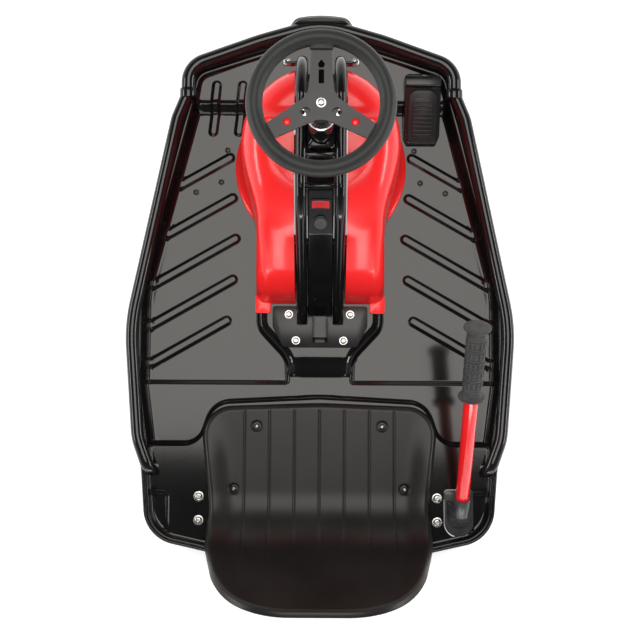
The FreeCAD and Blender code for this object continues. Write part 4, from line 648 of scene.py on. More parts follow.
def softened(name, node, material, body, slot, width=1.0, segments=2, angle=32):
    """A copy of a solid whose sharp edges are rounded as a moulding's or a casting's are."""
    weld, flat, crease = 0.01, 0.6, 45
    mesh = nodes[node].data.copy()
    form = bmesh.new()
    form.from_mesh(mesh)
    bmesh.ops.remove_doubles(form, verts=form.verts, dist=weld * MM)
    bmesh.ops.dissolve_limit(form, angle_limit=math.radians(flat), verts=form.verts, edges=form.edges)
    form.to_mesh(mesh)
    form.free()
    mesh.materials.clear()
    mesh.materials.append(material)
    copy = place(name, mesh)
    edge = copy.modifiers.new("edges", "BEVEL")
    edge.width = width * MM
    edge.segments = segments
    edge.limit_method = "ANGLE"
    edge.angle_limit = math.radians(angle)
    bake(copy)
    smooth(copy.data, crease)
    return settle(copy, body, slot, node)


rest_gap = 0.3
lip_clear = lip_top + rest_gap
hoop_height, hoop_size, hoop_end = 138.3, 13, 238
tube_paint = finish("tube_paint", [(0.005, 0.005, 0.0054), (0.008, 0.008, 0.0082)], 0.09,
                    patch=0.2, uneven=0.04, grain=0.00001, grain_size=0.006)
guard_plastic = finish("guard_plastic", [(0.035, 0.034, 0.033), (0.045, 0.044, 0.042)], 0.5,
                       grain=0.00004, grain_size=0.0008)
hoop_line = rounded(both_sides([(374, hoop_end), (421.5, hoop_end, 40), (468.4, 110, 400), (500.4, 0, 150)]),
                    6.0, closed=False, finest=5)[0]
hoop = Form()
hoop.tube(level(hoop_line, hoop_height), hoop_size, 32)
for side in (1, -1):
    hoop.turned([(14.2, 0), (15.3, 0.8), (15.5, 2), (15.5, 16), (15.3, 17.2), (14.2, 18)],
                (362, hoop_end * side, hoop_height), (1, 0, 0), 40)
for corner in hoop.mesh.verts:
    corner.co.z = max(corner.co.z, lip_clear * MM)
settle(hoop.made("bent_front_hoop", tube_paint), "chassis", "black_tube", "bumper_hoop")
softened("moulded_nose_guard", "nose_guard", guard_plastic, "chassis", "guard_plastic", 1.6, 3, 28)


# ---------------------------------------------------------------- side rails
# Two longer bends of the same painted tube: each starts in a sleeve of the hoop, follows
# the lip, is clipped half way and turns down into a foot bolted to the platform.
rail_size, rail_foot_size = 11.0, 8.4
rail_plan = rounded([(369.5, 240), (326, 257.5, 65), (-45, 332.5, 300), (-243, 316.5, 100), (-284, 301.4)],
                    7.0, closed=False, finest=5)[0]
rail_line = level(rail_plan, hoop_height)
bend_start, bend_end = rail_line[-1], np.array([-299.0, 289.5, 117.5])
bend_run = unit(rail_line[-1] - rail_line[-2])
rail_bend = [bend_start * (1 - t) ** 3 + 3 * (bend_start + bend_run * 11) * t * (1 - t) ** 2
             + 3 * (bend_end + (0, 0, 13)) * t * t * (1 - t) + bend_end * t ** 3
             for t in np.linspace(0.08, 1, 12)]
for label, side in (("left", 1), ("right", -1)):
    rail = Form()
    line = np.concatenate([rail_line, rail_bend]) * (1, side, 1)
    size = np.concatenate([np.full(len(rail_line), rail_size),
                           np.linspace(rail_size, rail_foot_size, len(rail_bend))])
    rail.tube(line, size, 28)
    rail.side_block(side, (-309, 281, platform_top + rest_gap), (-288, 297.5, 117.5), 0.8, 4)
    rail.side_block(side, (-2, 317.5, lip_clear), (22, 331, 129.6), 0.9, 3)
    settle(rail.made(f"bent_side_rail_{label}", tube_paint), "chassis", "black_tube", f"side_rail_{label}")


# ---------------------------------------------------------------- spine of twin tubes
# Two parallel tubes bent over the front wheel from the nose down to the foot plate, with
# bridges that carry the head tube, a moulded console between them, a rocker switch and a cap.
foot_plate_top = 102.0
tube_offset, tube_size, tube_end = 32, 9.5, -40
spine_side = rounded([(392, 80.5), (392, 325, 80), (142, 321, 70), (-50, 86.4)],
                     6.0, closed=False, finest=4)[0]
spine = Form()
for side in (1, -1):
    offset = np.full(len(spine_side), tube_offset * side)
    spine.tube(np.column_stack([spine_side[:, 0], offset, spine_side[:, 1]]), tube_size, 28)
for corner in spine.mesh.verts:
    if corner.co.x < 100 * MM:
        corner.co.z = max(corner.co.z, (foot_plate_top + rest_gap) * MM)
        corner.co.x = max(corner.co.x, tube_end * MM)
for middle in (216, 164):
    spine.block((middle - 4, -31, 316), (middle + 4, 31, 328), 1.0, 1.5)
spine.block((378, -43, 80.3), (401.5, 43, 84.3), 0.8, 4)
for side in (1, -1):
    spine.side_block(side, (386, 39.5, 248), (389, 57.5, 268), 0.6, 1.2)
settle(spine.made("twin_spine_tubes", tube_paint), "chassis", "black_tube", "spine_frame")

console_plastic = finish("console_plastic", [(0.005, 0.005, 0.0052), (0.008, 0.0078, 0.0078)], 0.17,
                         patch=0.05, uneven=0.05, grain=0.00002, grain_size=0.002)
softened("moulded_console", "spine_cover", console_plastic, "chassis", "console_plastic", 2.6, 3, 25)
panel_front, panel_top = 160, 316
panel_fall, panel_run = 54, 64
switch_back, cap_back = 20, 46


def on_panel(back, lift=0.0):
    """The turn and place of a piece on the sloping panel, this far behind its front edge."""
    height = panel_top - panel_fall * back / panel_run
    lean = Matrix.Rotation(-math.atan2(panel_fall, panel_run), 4, "Y")
    return (Matrix.Translation(Vector((panel_front - back, 0, height)) * MM) @ lean
            @ Matrix.Translation(Vector((0, 0, lift)) * MM))


bezel_plastic = finish("bezel_plastic", [(0.02, 0.02, 0.02), (0.03, 0.03, 0.03)], 0.32)
rocker_red = finish("rocker_red", [(0.62, 0.012, 0.016), (0.7, 0.018, 0.02)], 0.2, patch=0.03)
cap_rubber = finish("cap_rubber", [(0.05, 0.05, 0.052), (0.075, 0.075, 0.077)], 0.5, grain=0.00005)


def even(loop, count):
    """A closed line divided into equal steps."""
    closed = np.vstack([loop, loop[:1]])
    along = np.concatenate([[0], np.cumsum(np.linalg.norm(np.diff(closed, axis=0), axis=1))])
    marks = np.linspace(0, along[-1], count, endpoint=False)
    return np.column_stack([np.interp(marks, along, closed[:, axis]) for axis in (0, 1)])


bezel = Form()
outside = even(rounded(oblong((-9, -17), (9, 17), 3), 4.0)[0], 72)
inside = even(rounded(oblong((-6.9, -14.9), (6.9, 14.9), 1.5), 4.0)[0], 72)
rings = [level(outside, 0.3), level(outside, 2.3), level(outside * 0.97, 3.0),
         level(inside * 1.02, 3.0), level(inside, 2.6), level(inside, 0.3)]
bezel.moved(bezel.skin(rings, closed=True), on_panel(switch_back))
settle(bezel.made("switch_bezel", bezel_plastic), "chassis", "console_plastic", "power_switch")
rocker = Form()
half = 14.4
profile = [(y, 2.3 + 0.0042 * (y + 2) ** 2 + (1.6 if y < 0 else 0.6) * abs(y) / half)
           for y in np.linspace(-half, half, 17)]
rows = [[(-6.4, y, 0.8), (-6.4, y, top - 0.6), (-5.7, y, top),
         (5.7, y, top), (6.4, y, top - 0.6), (6.4, y, 0.8)] for y, top in profile]
rocker.moved(rocker.skin(rows), on_panel(switch_back, 0.9))
settle(rocker.made("switch_rocker", rocker_red), "chassis", "switch_plastic")
cap = Form()
cap.moved(cap.turned([(0, 0.3), (11.4, 0.3), (12, 0.9), (12, 2.2), (11.4, 2.8), (10.9, 2.8), (10.6, 3.3),
                      (10.6, 6.2), (10, 7.1), (8.6, 7.3), (7.4, 6.7), (0, 6.6)], (0, 0, 0), around=56),
          on_panel(cap_back))
cap.moved(cap.turned([(0, 6.3), (1.6, 6.6), (2.2, 7.4), (0, 7.9)], (0, 0, 0), around=24),
          on_panel(cap_back))
settle(cap.made("charge_cap", cap_rubber), "chassis", "cap_plastic", "charge_port_cap")
# The foot plate carries a short square tube, cut on a slant at its back; a dead-black block
# set inside its bore is painted shade that makes the hole read black.
plate = Form()
plate.plate(rounded(both_sides([(-7, 85, 5), (-44, 85, 14), (-81, 66, 6)]), 6.0)[0],
            plateau_top + rest_gap, foot_plate_top, 0.9)
square = rounded(oblong((-13, 101.4), (13, 128), 3), 30.0, finest=20)[0]
bore = (square - (0, 114.7)) * (10.5 / 13, 10.8 / 13.3) + (0, 114.7)
plate.skin([np.column_stack([x + (line[:, 1] - 101.4) * (0.3 if x < -50 else 0), line])
            for line, x in ((square, -73.0), (square, -28.0), (bore, -28.0), (bore, -73.0))], closed=True)
plate_paint = finish("plate_paint", [(0.010, 0.010, 0.010), (0.014, 0.014, 0.014)], 0.3,
                     patch=0.05, grain=0.00003)
# Dead black with almost no shine: painted shade, used in the square tube's bore and under the wheel plate's
# slot.
painted_shade_black = finish("painted_shade_black", [(0.002, 0.002, 0.002), (0.003, 0.003, 0.003)], 0.9, specular=0.1)
socket_shade = Form()
socket_shade.block((-64, -10.4, 104), (-58, 10.4, 124.6), 0.2, 1)
settle(socket_shade.made("socket_stopper", painted_shade_black), "chassis", "black_tube")
settle(plate.made("welded_foot_plate", plate_paint), "chassis", "black_tube", "foot_plate")


# ---------------------------------------------------------------- wheel shroud
# Two mirrored halves moulded in glossy red plastic: a dome over the steered wheel that
# runs smoothly into a hump over the battery, with a flange at the foot, open along the spine.
def grown(name, sizes, build, material):
    """Runs a tree of geometry nodes with named sizes once and returns the plain mesh object."""
    group = bpy.data.node_groups.new(name, "GeometryNodeTree")
    keys = {label: group.interface.new_socket(label, in_out="INPUT", socket_type="NodeSocketFloat").identifier
            for label in sizes}
    group.interface.new_socket("Geometry", in_out="OUTPUT", socket_type="NodeSocketGeometry")
    tree = Tree(group)
    entry = tree.add("NodeGroupInput")
    shape = build(tree, entry.out)
    shape = tree.add("GeometryNodeRealizeInstances", {}, {"Geometry": shape})
    tree.add("NodeGroupOutput", {}, {"Geometry": tree.add(
        "GeometryNodeSetMaterial", {}, {"Geometry": shape, "Material": material})})
    holder = place(name, bpy.data.meshes.new(name))
    work = holder.modifiers.new("grow", "NODES")
    work.node_group = group
    for label, amount in sizes.items():
        work[keys[label]] = float(amount)
    bake(holder)
    bpy.data.node_groups.remove(group)
    return holder


def larger(first, second):
    """The larger of two values at each place."""
    return (first if isinstance(first, Wire) else second).maths("MAXIMUM", first, second)


def smaller(first, second):
    """The smaller of two values at each place."""
    return (first if isinstance(first, Wire) else second).maths("MINIMUM", first, second)


def root(amount):
    """The square root of a value at each place."""
    return amount.maths("SQRT", amount)


def meet(first, second, radius):
    """Where two forms overlap, with their outer edge rounded."""
    one, two = larger(first + radius, 0), larger(second + radius, 0)
    return smaller(larger(first, second), -1 * radius) + root(one * one + two * two)


def melt(first, second, radius):
    """Two forms as one, with a round hollow where they join."""
    one, two = larger(radius - first, 0), larger(radius - second, 0)
    return larger(smaller(first, second), radius) - root(one * one + two * two)


def shroud_tree(tree, size):
    """Dome and hump, given by how far each place lies outside them.

    The hump's top falls at 38.7 degrees and its back leans by 10.1 degrees."""
    top_fall, top_level = 0.6254, 0.7803
    back_level, back_rise = 0.9844, 0.1758
    spot = tree.add("GeometryNodeInputPosition")
    spread = tree.add("ShaderNodeSeparateXYZ", {}, {"Vector": spot})
    x, y, z = (spread.out(axis) * 1000 for axis in "XYZ")
    forward, rise = x - size("Wheel Centre"), z - size("Floor")
    reach = root(forward * forward + y * y)
    wall = reach - (size("Dome Radius") - rise * size("Dome Lean"))
    crown = z - size("Crown Height") - (1 - reach * reach * 0.00009) * 1.2
    dome = meet(wall, crown, size("Dome Shoulder"))
    side = abs(y) - (size("Hump Half Width") - rise * size("Hump Lean"))
    slope = (x - 14) * -top_fall + (z - 192) * top_level
    across, along = abs(y) - 76, x - 80
    slope = slope + across * across * size("Hump Crown") + along * along * (size("Hump Crown") * 0.25)
    back = (x + 6) * -back_level + rise * back_rise
    hump = meet(meet(slope, back, size("Brow Round")), crown, size("Crest Round"))
    hump = larger(meet(hump, side, size("Hump Edge")), forward - 20)
    body = melt(dome, hump, size("Hollow Round"))
    grid = tree.add("GeometryNodeVolumeCube", {}, {
        "Density": body * -1, "Background": -10.0, "Min": (-0.03, -0.16, 0.07), "Max": (0.42, 0.16, 0.315),
        "Resolution X": 180, "Resolution Y": 128, "Resolution Z": 98})
    return tree.add("GeometryNodeVolumeToMesh", {}, {"Volume": grid, "Threshold": 0.0})


shroud_red = finish("shroud_red", [(0.88, 0.020, 0.021), (0.93, 0.025, 0.026)], 0.21,
                    patch=0.12, uneven=0.05, coat=0.1)
# The box behind lights the shroud alone, so the black floor stays free of its reflection.
lit_from_behind = bpy.data.collections.new("lit_from_behind")
box_behind.light_linking.receiver_collection = lit_from_behind
# Where the halves are cut, in metres: along the spine, at the foot, at the back and over the bed.
spine_opening, shroud_foot, shroud_back = 0.044, 0.0803, -0.0058
bed_end, bed_half, bed_foot = 0.11, 0.1123, 0.0983
whole_shroud = grown("shroud_form", {
    "Wheel Centre": 250, "Floor": 80, "Dome Radius": 141, "Dome Lean": 0.043, "Crown Height": 300,
    "Dome Shoulder": 46, "Hump Half Width": 116.5, "Hump Lean": 0.058, "Brow Round": 26, "Crest Round": 60,
    "Hump Edge": 20, "Hump Crown": 0.0034, "Hollow Round": 34}, shroud_tree, shroud_red)
for label, side in (("left", 1), ("right", -1)):
    form = bmesh.new()
    form.from_mesh(whole_shroud.data)
    cuts = [((0, spine_opening * side, 0), (0, side, 0)), ((0, 0, shroud_foot), (0, 0, 1)),
            ((shroud_back, 0, 0), (1, 0, 0))]
    for at, normal in cuts:
        bmesh.ops.bisect_plane(form, geom=form.verts[:] + form.edges[:] + form.faces[:], dist=1e-6,
                               plane_co=at, plane_no=normal, clear_inner=True)
    under = []
    for face in form.faces:
        x, y, z = face.calc_center_median()
        if x < bed_end and abs(y) < bed_half and z < bed_foot:
            under.append(face)
    bmesh.ops.delete(form, geom=under, context="FACES")
    shell = bpy.data.meshes.new("shell")
    form.to_mesh(shell)
    form.free()
    half = place("shell", shell)
    thicken(half, 3)
    flange = Form()
    sweep = np.radians(np.linspace(17.5, 147, 66)) * side
    profile = [(140.3, 118), (140.9, 108), (142.4, 100), (145, 93), (148.6, 87.6), (152.8, 84.2),
               (155.3, 82.9), (156, 82), (156, 80.5), (138.5, 80.5), (138.5, 118)]
    flange.skin([[(wheel_at[0] + radius * math.cos(turn), radius * math.sin(turn), height)
                  for radius, height in profile] for turn in sweep])
    flange.side_block(side, (-20, 88, plateau_top + rest_gap), (14, 116, foot_plate_top + rest_gap), 0.9, 5)
    rim = flange.made("rim", shroud_red)
    form = bmesh.new()
    form.from_mesh(half.data)
    form.from_mesh(rim.data)
    joined = bpy.data.meshes.new(f"moulded_shroud_{label}")
    form.to_mesh(joined)
    form.free()
    joined.materials.append(shroud_red)
    smooth(joined, 50)
    piece = place(f"moulded_shroud_{label}", joined)
    for spare in (half, rim):
        bpy.data.objects.remove(spare)
    lit_from_behind.objects.link(piece)
    settle(piece, "chassis", "red_plastic", f"shroud_{label}")
bpy.data.objects.remove(whole_shroud)


# ---------------------------------------------------------------- seat
# One moulded shell of satin plastic with a fine grain: a flat base, a wide knee and a
# leaning back, a rolled edge all round and shallow grooves, held by four recessed bolts.
seat_front, seat_top = -180, 128.3
seat_side, seat_run = rounded([(seat_front, seat_top), (-401.2, seat_top, 106), (-506.0, 345)],
                              3.0, closed=False, finest=3)
seat_marks = np.concatenate([[0], np.cumsum(np.linalg.norm(np.diff(seat_side, axis=0), axis=1))])
seat_reach = seat_marks[-1]
seat_edge = rounded(both_sides([(0, 0, 700), (8, 211, 52), (183, 190.5, 300), (255, 195.5, 170),
                                (seat_reach, 155, 135)])[::-1], 5.0)
seat_bolts = [(-222, 110), (-222, -110), (-331, 149), (-331, -149)]
groove_pitch, groove_depth, groove_width = 43.8, 1.0, 1.5
edge_roll, wing_rise, recess_depth = 9.5, 8.5, 4.2


def seat_relief(points):
    """How far the seat's skin stands over its plain bent sheet."""
    along, across = points[:, 0], points[:, 1]
    inside = np.clip(depth_in(points, seat_edge[0]), 0, None)
    curl = np.minimum(np.clip(edge_roll + 1 - inside, 0, None), edge_roll)
    relief = -(edge_roll - np.sqrt(edge_roll ** 2 - curl ** 2))
    half = np.interp(along, [0, 183, 255, seat_reach], [210, 190.5, 195.5, 160])
    wing = 1 - ease((half - abs(across) - 6) / 42)
    relief += wing_rise * wing * ease(along / 110) * (1 - ease((along - 330) / 110))
    shown = ease((along - 8) / 10) * (1 - ease((along - 245) / 95))
    for number in range(-3, 4):
        from_groove = (across - number * groove_pitch) / groove_width
        relief -= groove_depth * shown * np.exp(-from_groove ** 2)
    for x, y in seat_bolts:
        gap = np.hypot(along - (seat_front - x), across - y)
        relief -= recess_depth * (1 - ease((gap - 6.5) / 3.5))
    return relief


def on_seat(points, lift):
    """Places on the bent sheet, at a height over its skin."""
    along = np.clip(points[:, 0], 0, seat_reach)
    base = np.column_stack([np.interp(along, seat_marks, seat_side[:, axis]) for axis in (0, 1)])
    run = np.column_stack([np.interp(along, seat_marks, seat_run[:, axis]) for axis in (0, 1)])
    return np.column_stack([base[:, 0] + run[:, 1] * lift, points[:, 1], base[:, 1] - run[:, 0] * lift])


guides = beside(seat_edge, (0.35, 1.0, 2.0, 3.4, 5.2, 7.2, 9.2, 11, 13.5))
grooves = np.arange(12.0, 390.0, 7.0)
for number in range(-3, 4):
    for offset in (-6.5, -4.2, -2.8, -1.4, 0, 1.4, 2.8, 4.2, 6.5):
        across = np.full(len(grooves), number * groove_pitch + offset)
        guides.append((np.column_stack([grooves, across]), False))
for x, y in seat_bolts:
    for radius in (3.5, 7, 8.6, 10.2, 12.2, 13.6):
        guides.append(((seat_front - x, y) + radius * circle(28), True))
flat_points, flat_faces = filled_sheet(seat_edge[0], [], guides, 9.0)
seat_plastic = finish("seat_plastic", [(0.009, 0.0078, 0.0072), (0.0135, 0.012, 0.011)], 0.34,
                      patch=0.11, uneven=0.07, grain=0.00006, grain_size=0.0009, specular=0.36)
seat = solid_sheet("moulded_seat", on_seat(flat_points, seat_relief(flat_points)), flat_faces[:, ::-1],
                   seat_plastic, 4.4, 60)
settle(seat, "chassis", "seat_plastic", "seat_shell")


# ---------------------------------------------------------------- steering
# A steel column in a head tube with pressed bearing cups; on top a cut plate with three
# arms, bolted to the column, and a rim of dense foam moulded round a steel ring.
steering_axis = (*wheel_at, 0)
head_low, head_high = 262, 412
plate_top = 496
head_tube = Form()
cup = [(12.8, -10), (19.4, -10), (20.8, -8.8), (21, -6), (21, -1.2), (19.6, 0), (12.8, 0)]
head_tube.turned([(radius, head_low + height) for radius, height in cup], steering_axis, closed=True)
head_tube.turned([(radius, head_high - height) for radius, height in cup][::-1], steering_axis, closed=True)
head_tube.turned([(12.8, head_low), (18.4, head_low), (19, head_low + 0.8), (19, head_high - 0.8),
                  (18.4, head_high), (12.8, head_high)], steering_axis, closed=True)
head_tube.block((228, -22.5, 313.2), (290, 22.5, 329), 1.0, 6)
settle(head_tube.made("welded_head_tube", tube_paint), "chassis", "black_tube", "head_tube")
bright_steel = finish("bright_steel", [(0.58, 0.58, 0.56), (0.68, 0.67, 0.65)], 0.26,
                      patch=0.01, uneven=0.1, metallic=1.0)
zinc_steel = finish("zinc_steel", [(0.50, 0.50, 0.49), (0.64, 0.63, 0.60)], 0.32,
                    patch=0.012, uneven=0.16, metallic=1.0, grain=0.00003)
cup_ring = Form()
cup_ring.turned([(13.4, 421), (21.6, 421), (21.9, 422.2), (20.3, 424.2), (13.4, 424.4)],
                steering_axis, closed=True)
settle(cup_ring.made("bearing_cup_ring", bright_steel), "chassis", "bright_steel")
column = Form()
column.turned([(0, 251.8), (11.6, 251.8), (12.5, 252.6), (12.5, 484), (14, 485.6), (26.2, 486),
               (27, 486.8), (27, 491.9), (0, 491.9)], steering_axis, around=56)
settle(column.made("steering_column_tube", frame_paint), "steering", "black_frame", "steering_column")

# The plate's front arm has a slot and an arrow; the other two have an oval hole by the hub and
# a round one that takes a red plug.
arm_edge = rounded(both_sides([
    (91.5, 0), (91.5, 13.6, 1.5), (11.3, 19.3, 26), (-34.9, 86.5, 2), (-56.1, 74.5, 2), (-22.1, 0, 34)]),
    5.0)[0] + wheel_at
slot = rounded(oblong((29, -4), (50, 4), 1.2), 5.0)[0] + wheel_at
arrow = rounded([(52.6, -3.2, 0.6), (58, -5.4, 0.8), (65.5, 0, 1.5), (58, 5.4, 0.8), (52.6, 3.2, 0.6)],
                5.0)[0] + wheel_at
arm_holes = [slot, arrow]
arm_holes += [wheel_at + (-13.2, 23.4 * side) + circle(36) * (6.4, 7.2) for side in (1, -1)]
arm_holes += [wheel_at + (-28.6, 50.2 * side) + circle(36) * 6.2 for side in (1, -1)]
flat_points, flat_faces = filled_sheet(arm_edge, arm_holes, [], 9.0)
arm_paint = finish("arm_paint", [(0.030, 0.030, 0.0295), (0.038, 0.038, 0.037)], 0.42,
                   patch=0.05, grain=0.00004, grain_size=0.0007)
arms = solid_sheet("cut_wheel_plate", level(flat_points, plate_top), flat_faces, arm_paint, 4.0, 30)
rounding = arms.modifiers.new("edges", "BEVEL")
rounding.width = 0.6 * MM
rounding.segments = 2
rounding.limit_method = "ANGLE"
bake(arms)
settle(arms, "steering", "black_frame", "steering_spokes")
foam = finish("foam_grip", [(0.012, 0.0135, 0.0125), (0.018, 0.019, 0.018)], 0.5,
              patch=0.04, uneven=0.1, grain=0.00012, grain_size=0.0011)
rim = Form()
rim_radius, rim_size, arm_turn = 98.5, 12.4, 119.5
section = [(rim_radius + rim_size * math.cos(turn) * (1 + 0.015 * math.cos(4 * turn)),
            plate_top + rim_size * math.sin(turn)) for turn in turns(32)]
rim.turned(section, steering_axis, around=120, closed=True)
rim.block((329.5, -17.6, 490.5), (341, 17.6, 501.5), 2.0, 3)
for side in (1, -1):
    pad = rim.block((84.5, -15, 490.8), (92, 15, 500), 1.6, 3)
    turn = Matrix.Rotation(math.radians(arm_turn * side), 4, "Z")
    rim.moved(pad, Matrix.Translation(Vector(steering_axis) * MM) @ turn)
settle(rim.made("foam_steering_rim", foam), "steering", "foam_grip", "steering_rim")
# A dead-black strip under the slot is painted shade: it makes the slot read black where the red shroud would
# show through.
slot_shade = Form()
slot_shade.block((274, -8, 490.8), (319, 8, 492), 0.3, 2)
settle(slot_shade.made("arm_backing", painted_shade_black), "steering", "black_frame")
rings = Form()
for side in (1, -1):
    rings.turned([(3.8, 489.6), (6.4, 489.6), (6.9, 490.2), (6.4, 491), (3.8, 491)],
                 (236.8, 27.5 * side, 0), around=32, closed=True)
settle(rings.made("hub_clamp_rings", bright_steel), "steering", "bright_steel")
plugs = Form()
for side in (1, -1):
    plugs.turned([(0, 493.2), (6.1, 493.2), (6.1, 495.0), (5.2, 495.7), (0, 495.9)],
                 (221.4, 50.2 * side, 0), around=36)
settle(plugs.made("red_plate_plugs", rocker_red), "steering", "red_paint")


# ---------------------------------------------------------------- drift shaft and lever
# A steel shaft across the tail carries the casters' kingpins; a bolted foot with a moulded
# boot takes the painted lever tube, and a ribbed rubber grip is pushed over its end.
dress(zinc_steel, "drift_shaft")
boot_plastic = finish("boot_plastic", [(0.03, 0.03, 0.031), (0.045, 0.045, 0.047)], 0.26,
                      patch=0.02, grain=0.00003)
softened("moulded_lever_boot", "lever_socket", boot_plastic, "drift_axle", "boot_plastic", 1.4, 3, 25)
# A flat skirt under the boot covers the slot in the floor that the lever's foot swings in.
skirt = Form()
skirt_plan = rounded(oblong((-412, -270.3), (-331.7, -219.7), 24, 5), 4.0)[0]
skirt.plate(skirt_plan, platform_top - 1, platform_top + 1.2, 0.6)
settle(skirt.made("lever_boot_skirt", boot_plastic), "drift_axle", "boot_plastic")
lever_foot = np.array([-383.0, -245.0, 135.2])
lever_rise = math.radians(35.7)
lever_run = np.array([math.cos(lever_rise), 0, math.sin(lever_rise)])
lever_red = finish("lever_red", [(0.86, 0.012, 0.016), (0.92, 0.018, 0.022)], 0.12,
                   patch=0.05, uneven=0.04, coat=0.3)
lever = Form()
lever.turned([(0, 21.6), (11.4, 21.6), (12, 22.4), (12, 384.4), (11.4, 385), (0, 385)],
             lever_foot, lever_run, 40)
settle(lever.made("painted_lever_tube", lever_red), "drift_axle", "red_paint", "drift_lever")
grip_rubber = finish("grip_rubber", [(0.035, 0.034, 0.034), (0.05, 0.048, 0.048)], 0.6,
                     patch=0.02, uneven=0.12, grain=0.00015, grain_size=0.0014)
grip = Form()
grip_radius, grip_groove, groove_step = 15.8, 15, 5.4
profile = [(12.2, 258), (20.6, 258), (21.8, 258.7), (22, 259.6), (21.8, 260.5), (20.4, 261.2), (17, 262),
           (grip_radius, 264)]
for number in range(21):
    base = 268 + groove_step * number
    profile += [(grip_radius, base), (grip_radius, base + 3.1), (grip_groove, base + 3.7),
                (grip_groove, base + 4.8)]
profile += [(grip_radius, 384), (17, 386), (20.6, 387.4), (21.8, 388.2), (22, 389.2), (21.6, 390.4),
            (20.2, 391), (6, 391), (3, 390), (0, 390), (0, 385.3), (12.2, 385.3)]
grip.turned(profile, lever_foot, lever_run, 48, closed=True)
settle(grip.made("rubber_lever_grip", grip_rubber), "drift_axle", "grip_rubber", "lever_grip")


def ribs_tree(tree, size):
    """Short raised bars round the grip, in a ring that is repeated along it."""
    row = tree.add("GeometryNodeMeshLine", {}, {
        "Count": 5, "Start Location": (0, 0, 0.288), "Offset": (0, 0, 0.0185)})
    bar = tree.add("GeometryNodeMeshCube", {}, {"Size": (0.0016, 0.0036, 0.0125)})
    ring = tree.add("GeometryNodeMeshCircle", {}, {"Vertices": 14, "Radius": size("Grip Radius") * MM})
    heading = tree.add("GeometryNodeInputPosition")
    turn = tree.add("FunctionNodeAlignRotationToVector", {"axis": "X"}, {"Vector": heading})
    belt = tree.add("GeometryNodeInstanceOnPoints", {}, {"Points": ring, "Instance": bar, "Rotation": turn})
    return tree.add("GeometryNodeInstanceOnPoints", {}, {"Points": row, "Instance": belt})


ribs = grown("grip_ribs", {"Grip Radius": grip_radius}, ribs_tree, grip_rubber)
lean = Matrix.Translation(Vector(lever_foot) * MM) @ Matrix.Rotation(math.pi / 2 - lever_rise, 4, "Y")
ribs.data.transform(lean)
settle(ribs, "drift_axle", "grip_rubber")


# ---------------------------------------------------------------- foot pedal
# A hollow plastic housing screwed to the front shelf with a sprung pad on top; the pad
# is rubber with a raised middle and bars across it for grip.
pedal_plastic = finish("pedal_plastic", [(0.013, 0.013, 0.0135), (0.018, 0.018, 0.018)], 0.22,
                       patch=0.04, grain=0.00003)
pad_rubber = finish("pad_rubber", [(0.014, 0.0135, 0.0135), (0.021, 0.02, 0.02)], 0.4,
                    patch=0.02, grain=0.00006)
softened("moulded_pedal_base", "pedal_base", pedal_plastic, "chassis", "pedal_plastic", 2.2, 3, 28)
pedal_lean = math.atan2(40, 88)
on_pedal = Matrix.Translation(Vector((298, -183.5, 92.6)) * MM) @ Matrix.Rotation(-pedal_lean, 4, "Y")
pad = Form()
pad_plan = rounded(oblong((0.5, -26), (93, 26), 5, 17), 5.0)[0]
raised_plan = rounded(oblong((8, -20), (80, 20), 4, 13), 5.0)[0]
bar_pitch = 7.4
parts = pad.plate(pad_plan, 0.4, 6.6, 1.6)
parts += pad.plate(raised_plan, 5.0, 8.0, 1.2)
for number in range(9):
    half_bar = 17 if number < 8 else 12
    back = 12 + bar_pitch * number
    parts += pad.block((back, -half_bar, 7.6), (back + 3, half_bar, 9.3), 0.8, 1.4)
pad.moved(parts, on_pedal)
settle(pad.made("ribbed_pedal_pad", pad_rubber), "chassis", "pedal_plastic", "pedal_plate")


# ---------------------------------------------------------------- bolts and screws
# Button-head bolts with hexagon recesses and washers: bright zinc on the foot plate, the
# deck, the shroud and the steering wheel, black in the seat and at the caster plates.
def button_head():
    """A head of radius 1 with its washer, to be placed many times."""
    form = bmesh.new()
    around = 24
    profile = [(1.28, 0.0), (1.28, 0.14), (1.0, 0.16), (0.98, 0.34), (0.86, 0.52), (0.64, 0.62),
               (0.5, 0.64)]
    recess = [(0.46, 0.64), (0.44, 0.22)]
    rows = []
    for radius, height in profile + recess:
        row = []
        for turn in turns(around):
            reach = radius
            if (radius, height) in recess:
                reach *= math.cos(math.pi / 6) / math.cos(turn % (math.pi / 3) - math.pi / 6)
            row.append(form.verts.new(Vector((reach * math.cos(turn), reach * math.sin(turn), height)) * MM))
        rows.append(row)
    for first, second in zip(rows, rows[1:]):
        for spot in range(around):
            after = (spot + 1) % around
            form.faces.new((first[spot], first[after], second[after], second[spot]))
    form.faces.new(rows[-1])
    form.faces.new(rows[0][::-1])
    mesh = bpy.data.meshes.new("head")
    form.to_mesh(mesh)
    form.free()
    smooth(mesh, 35)
    return place("head", mesh)


head = button_head()


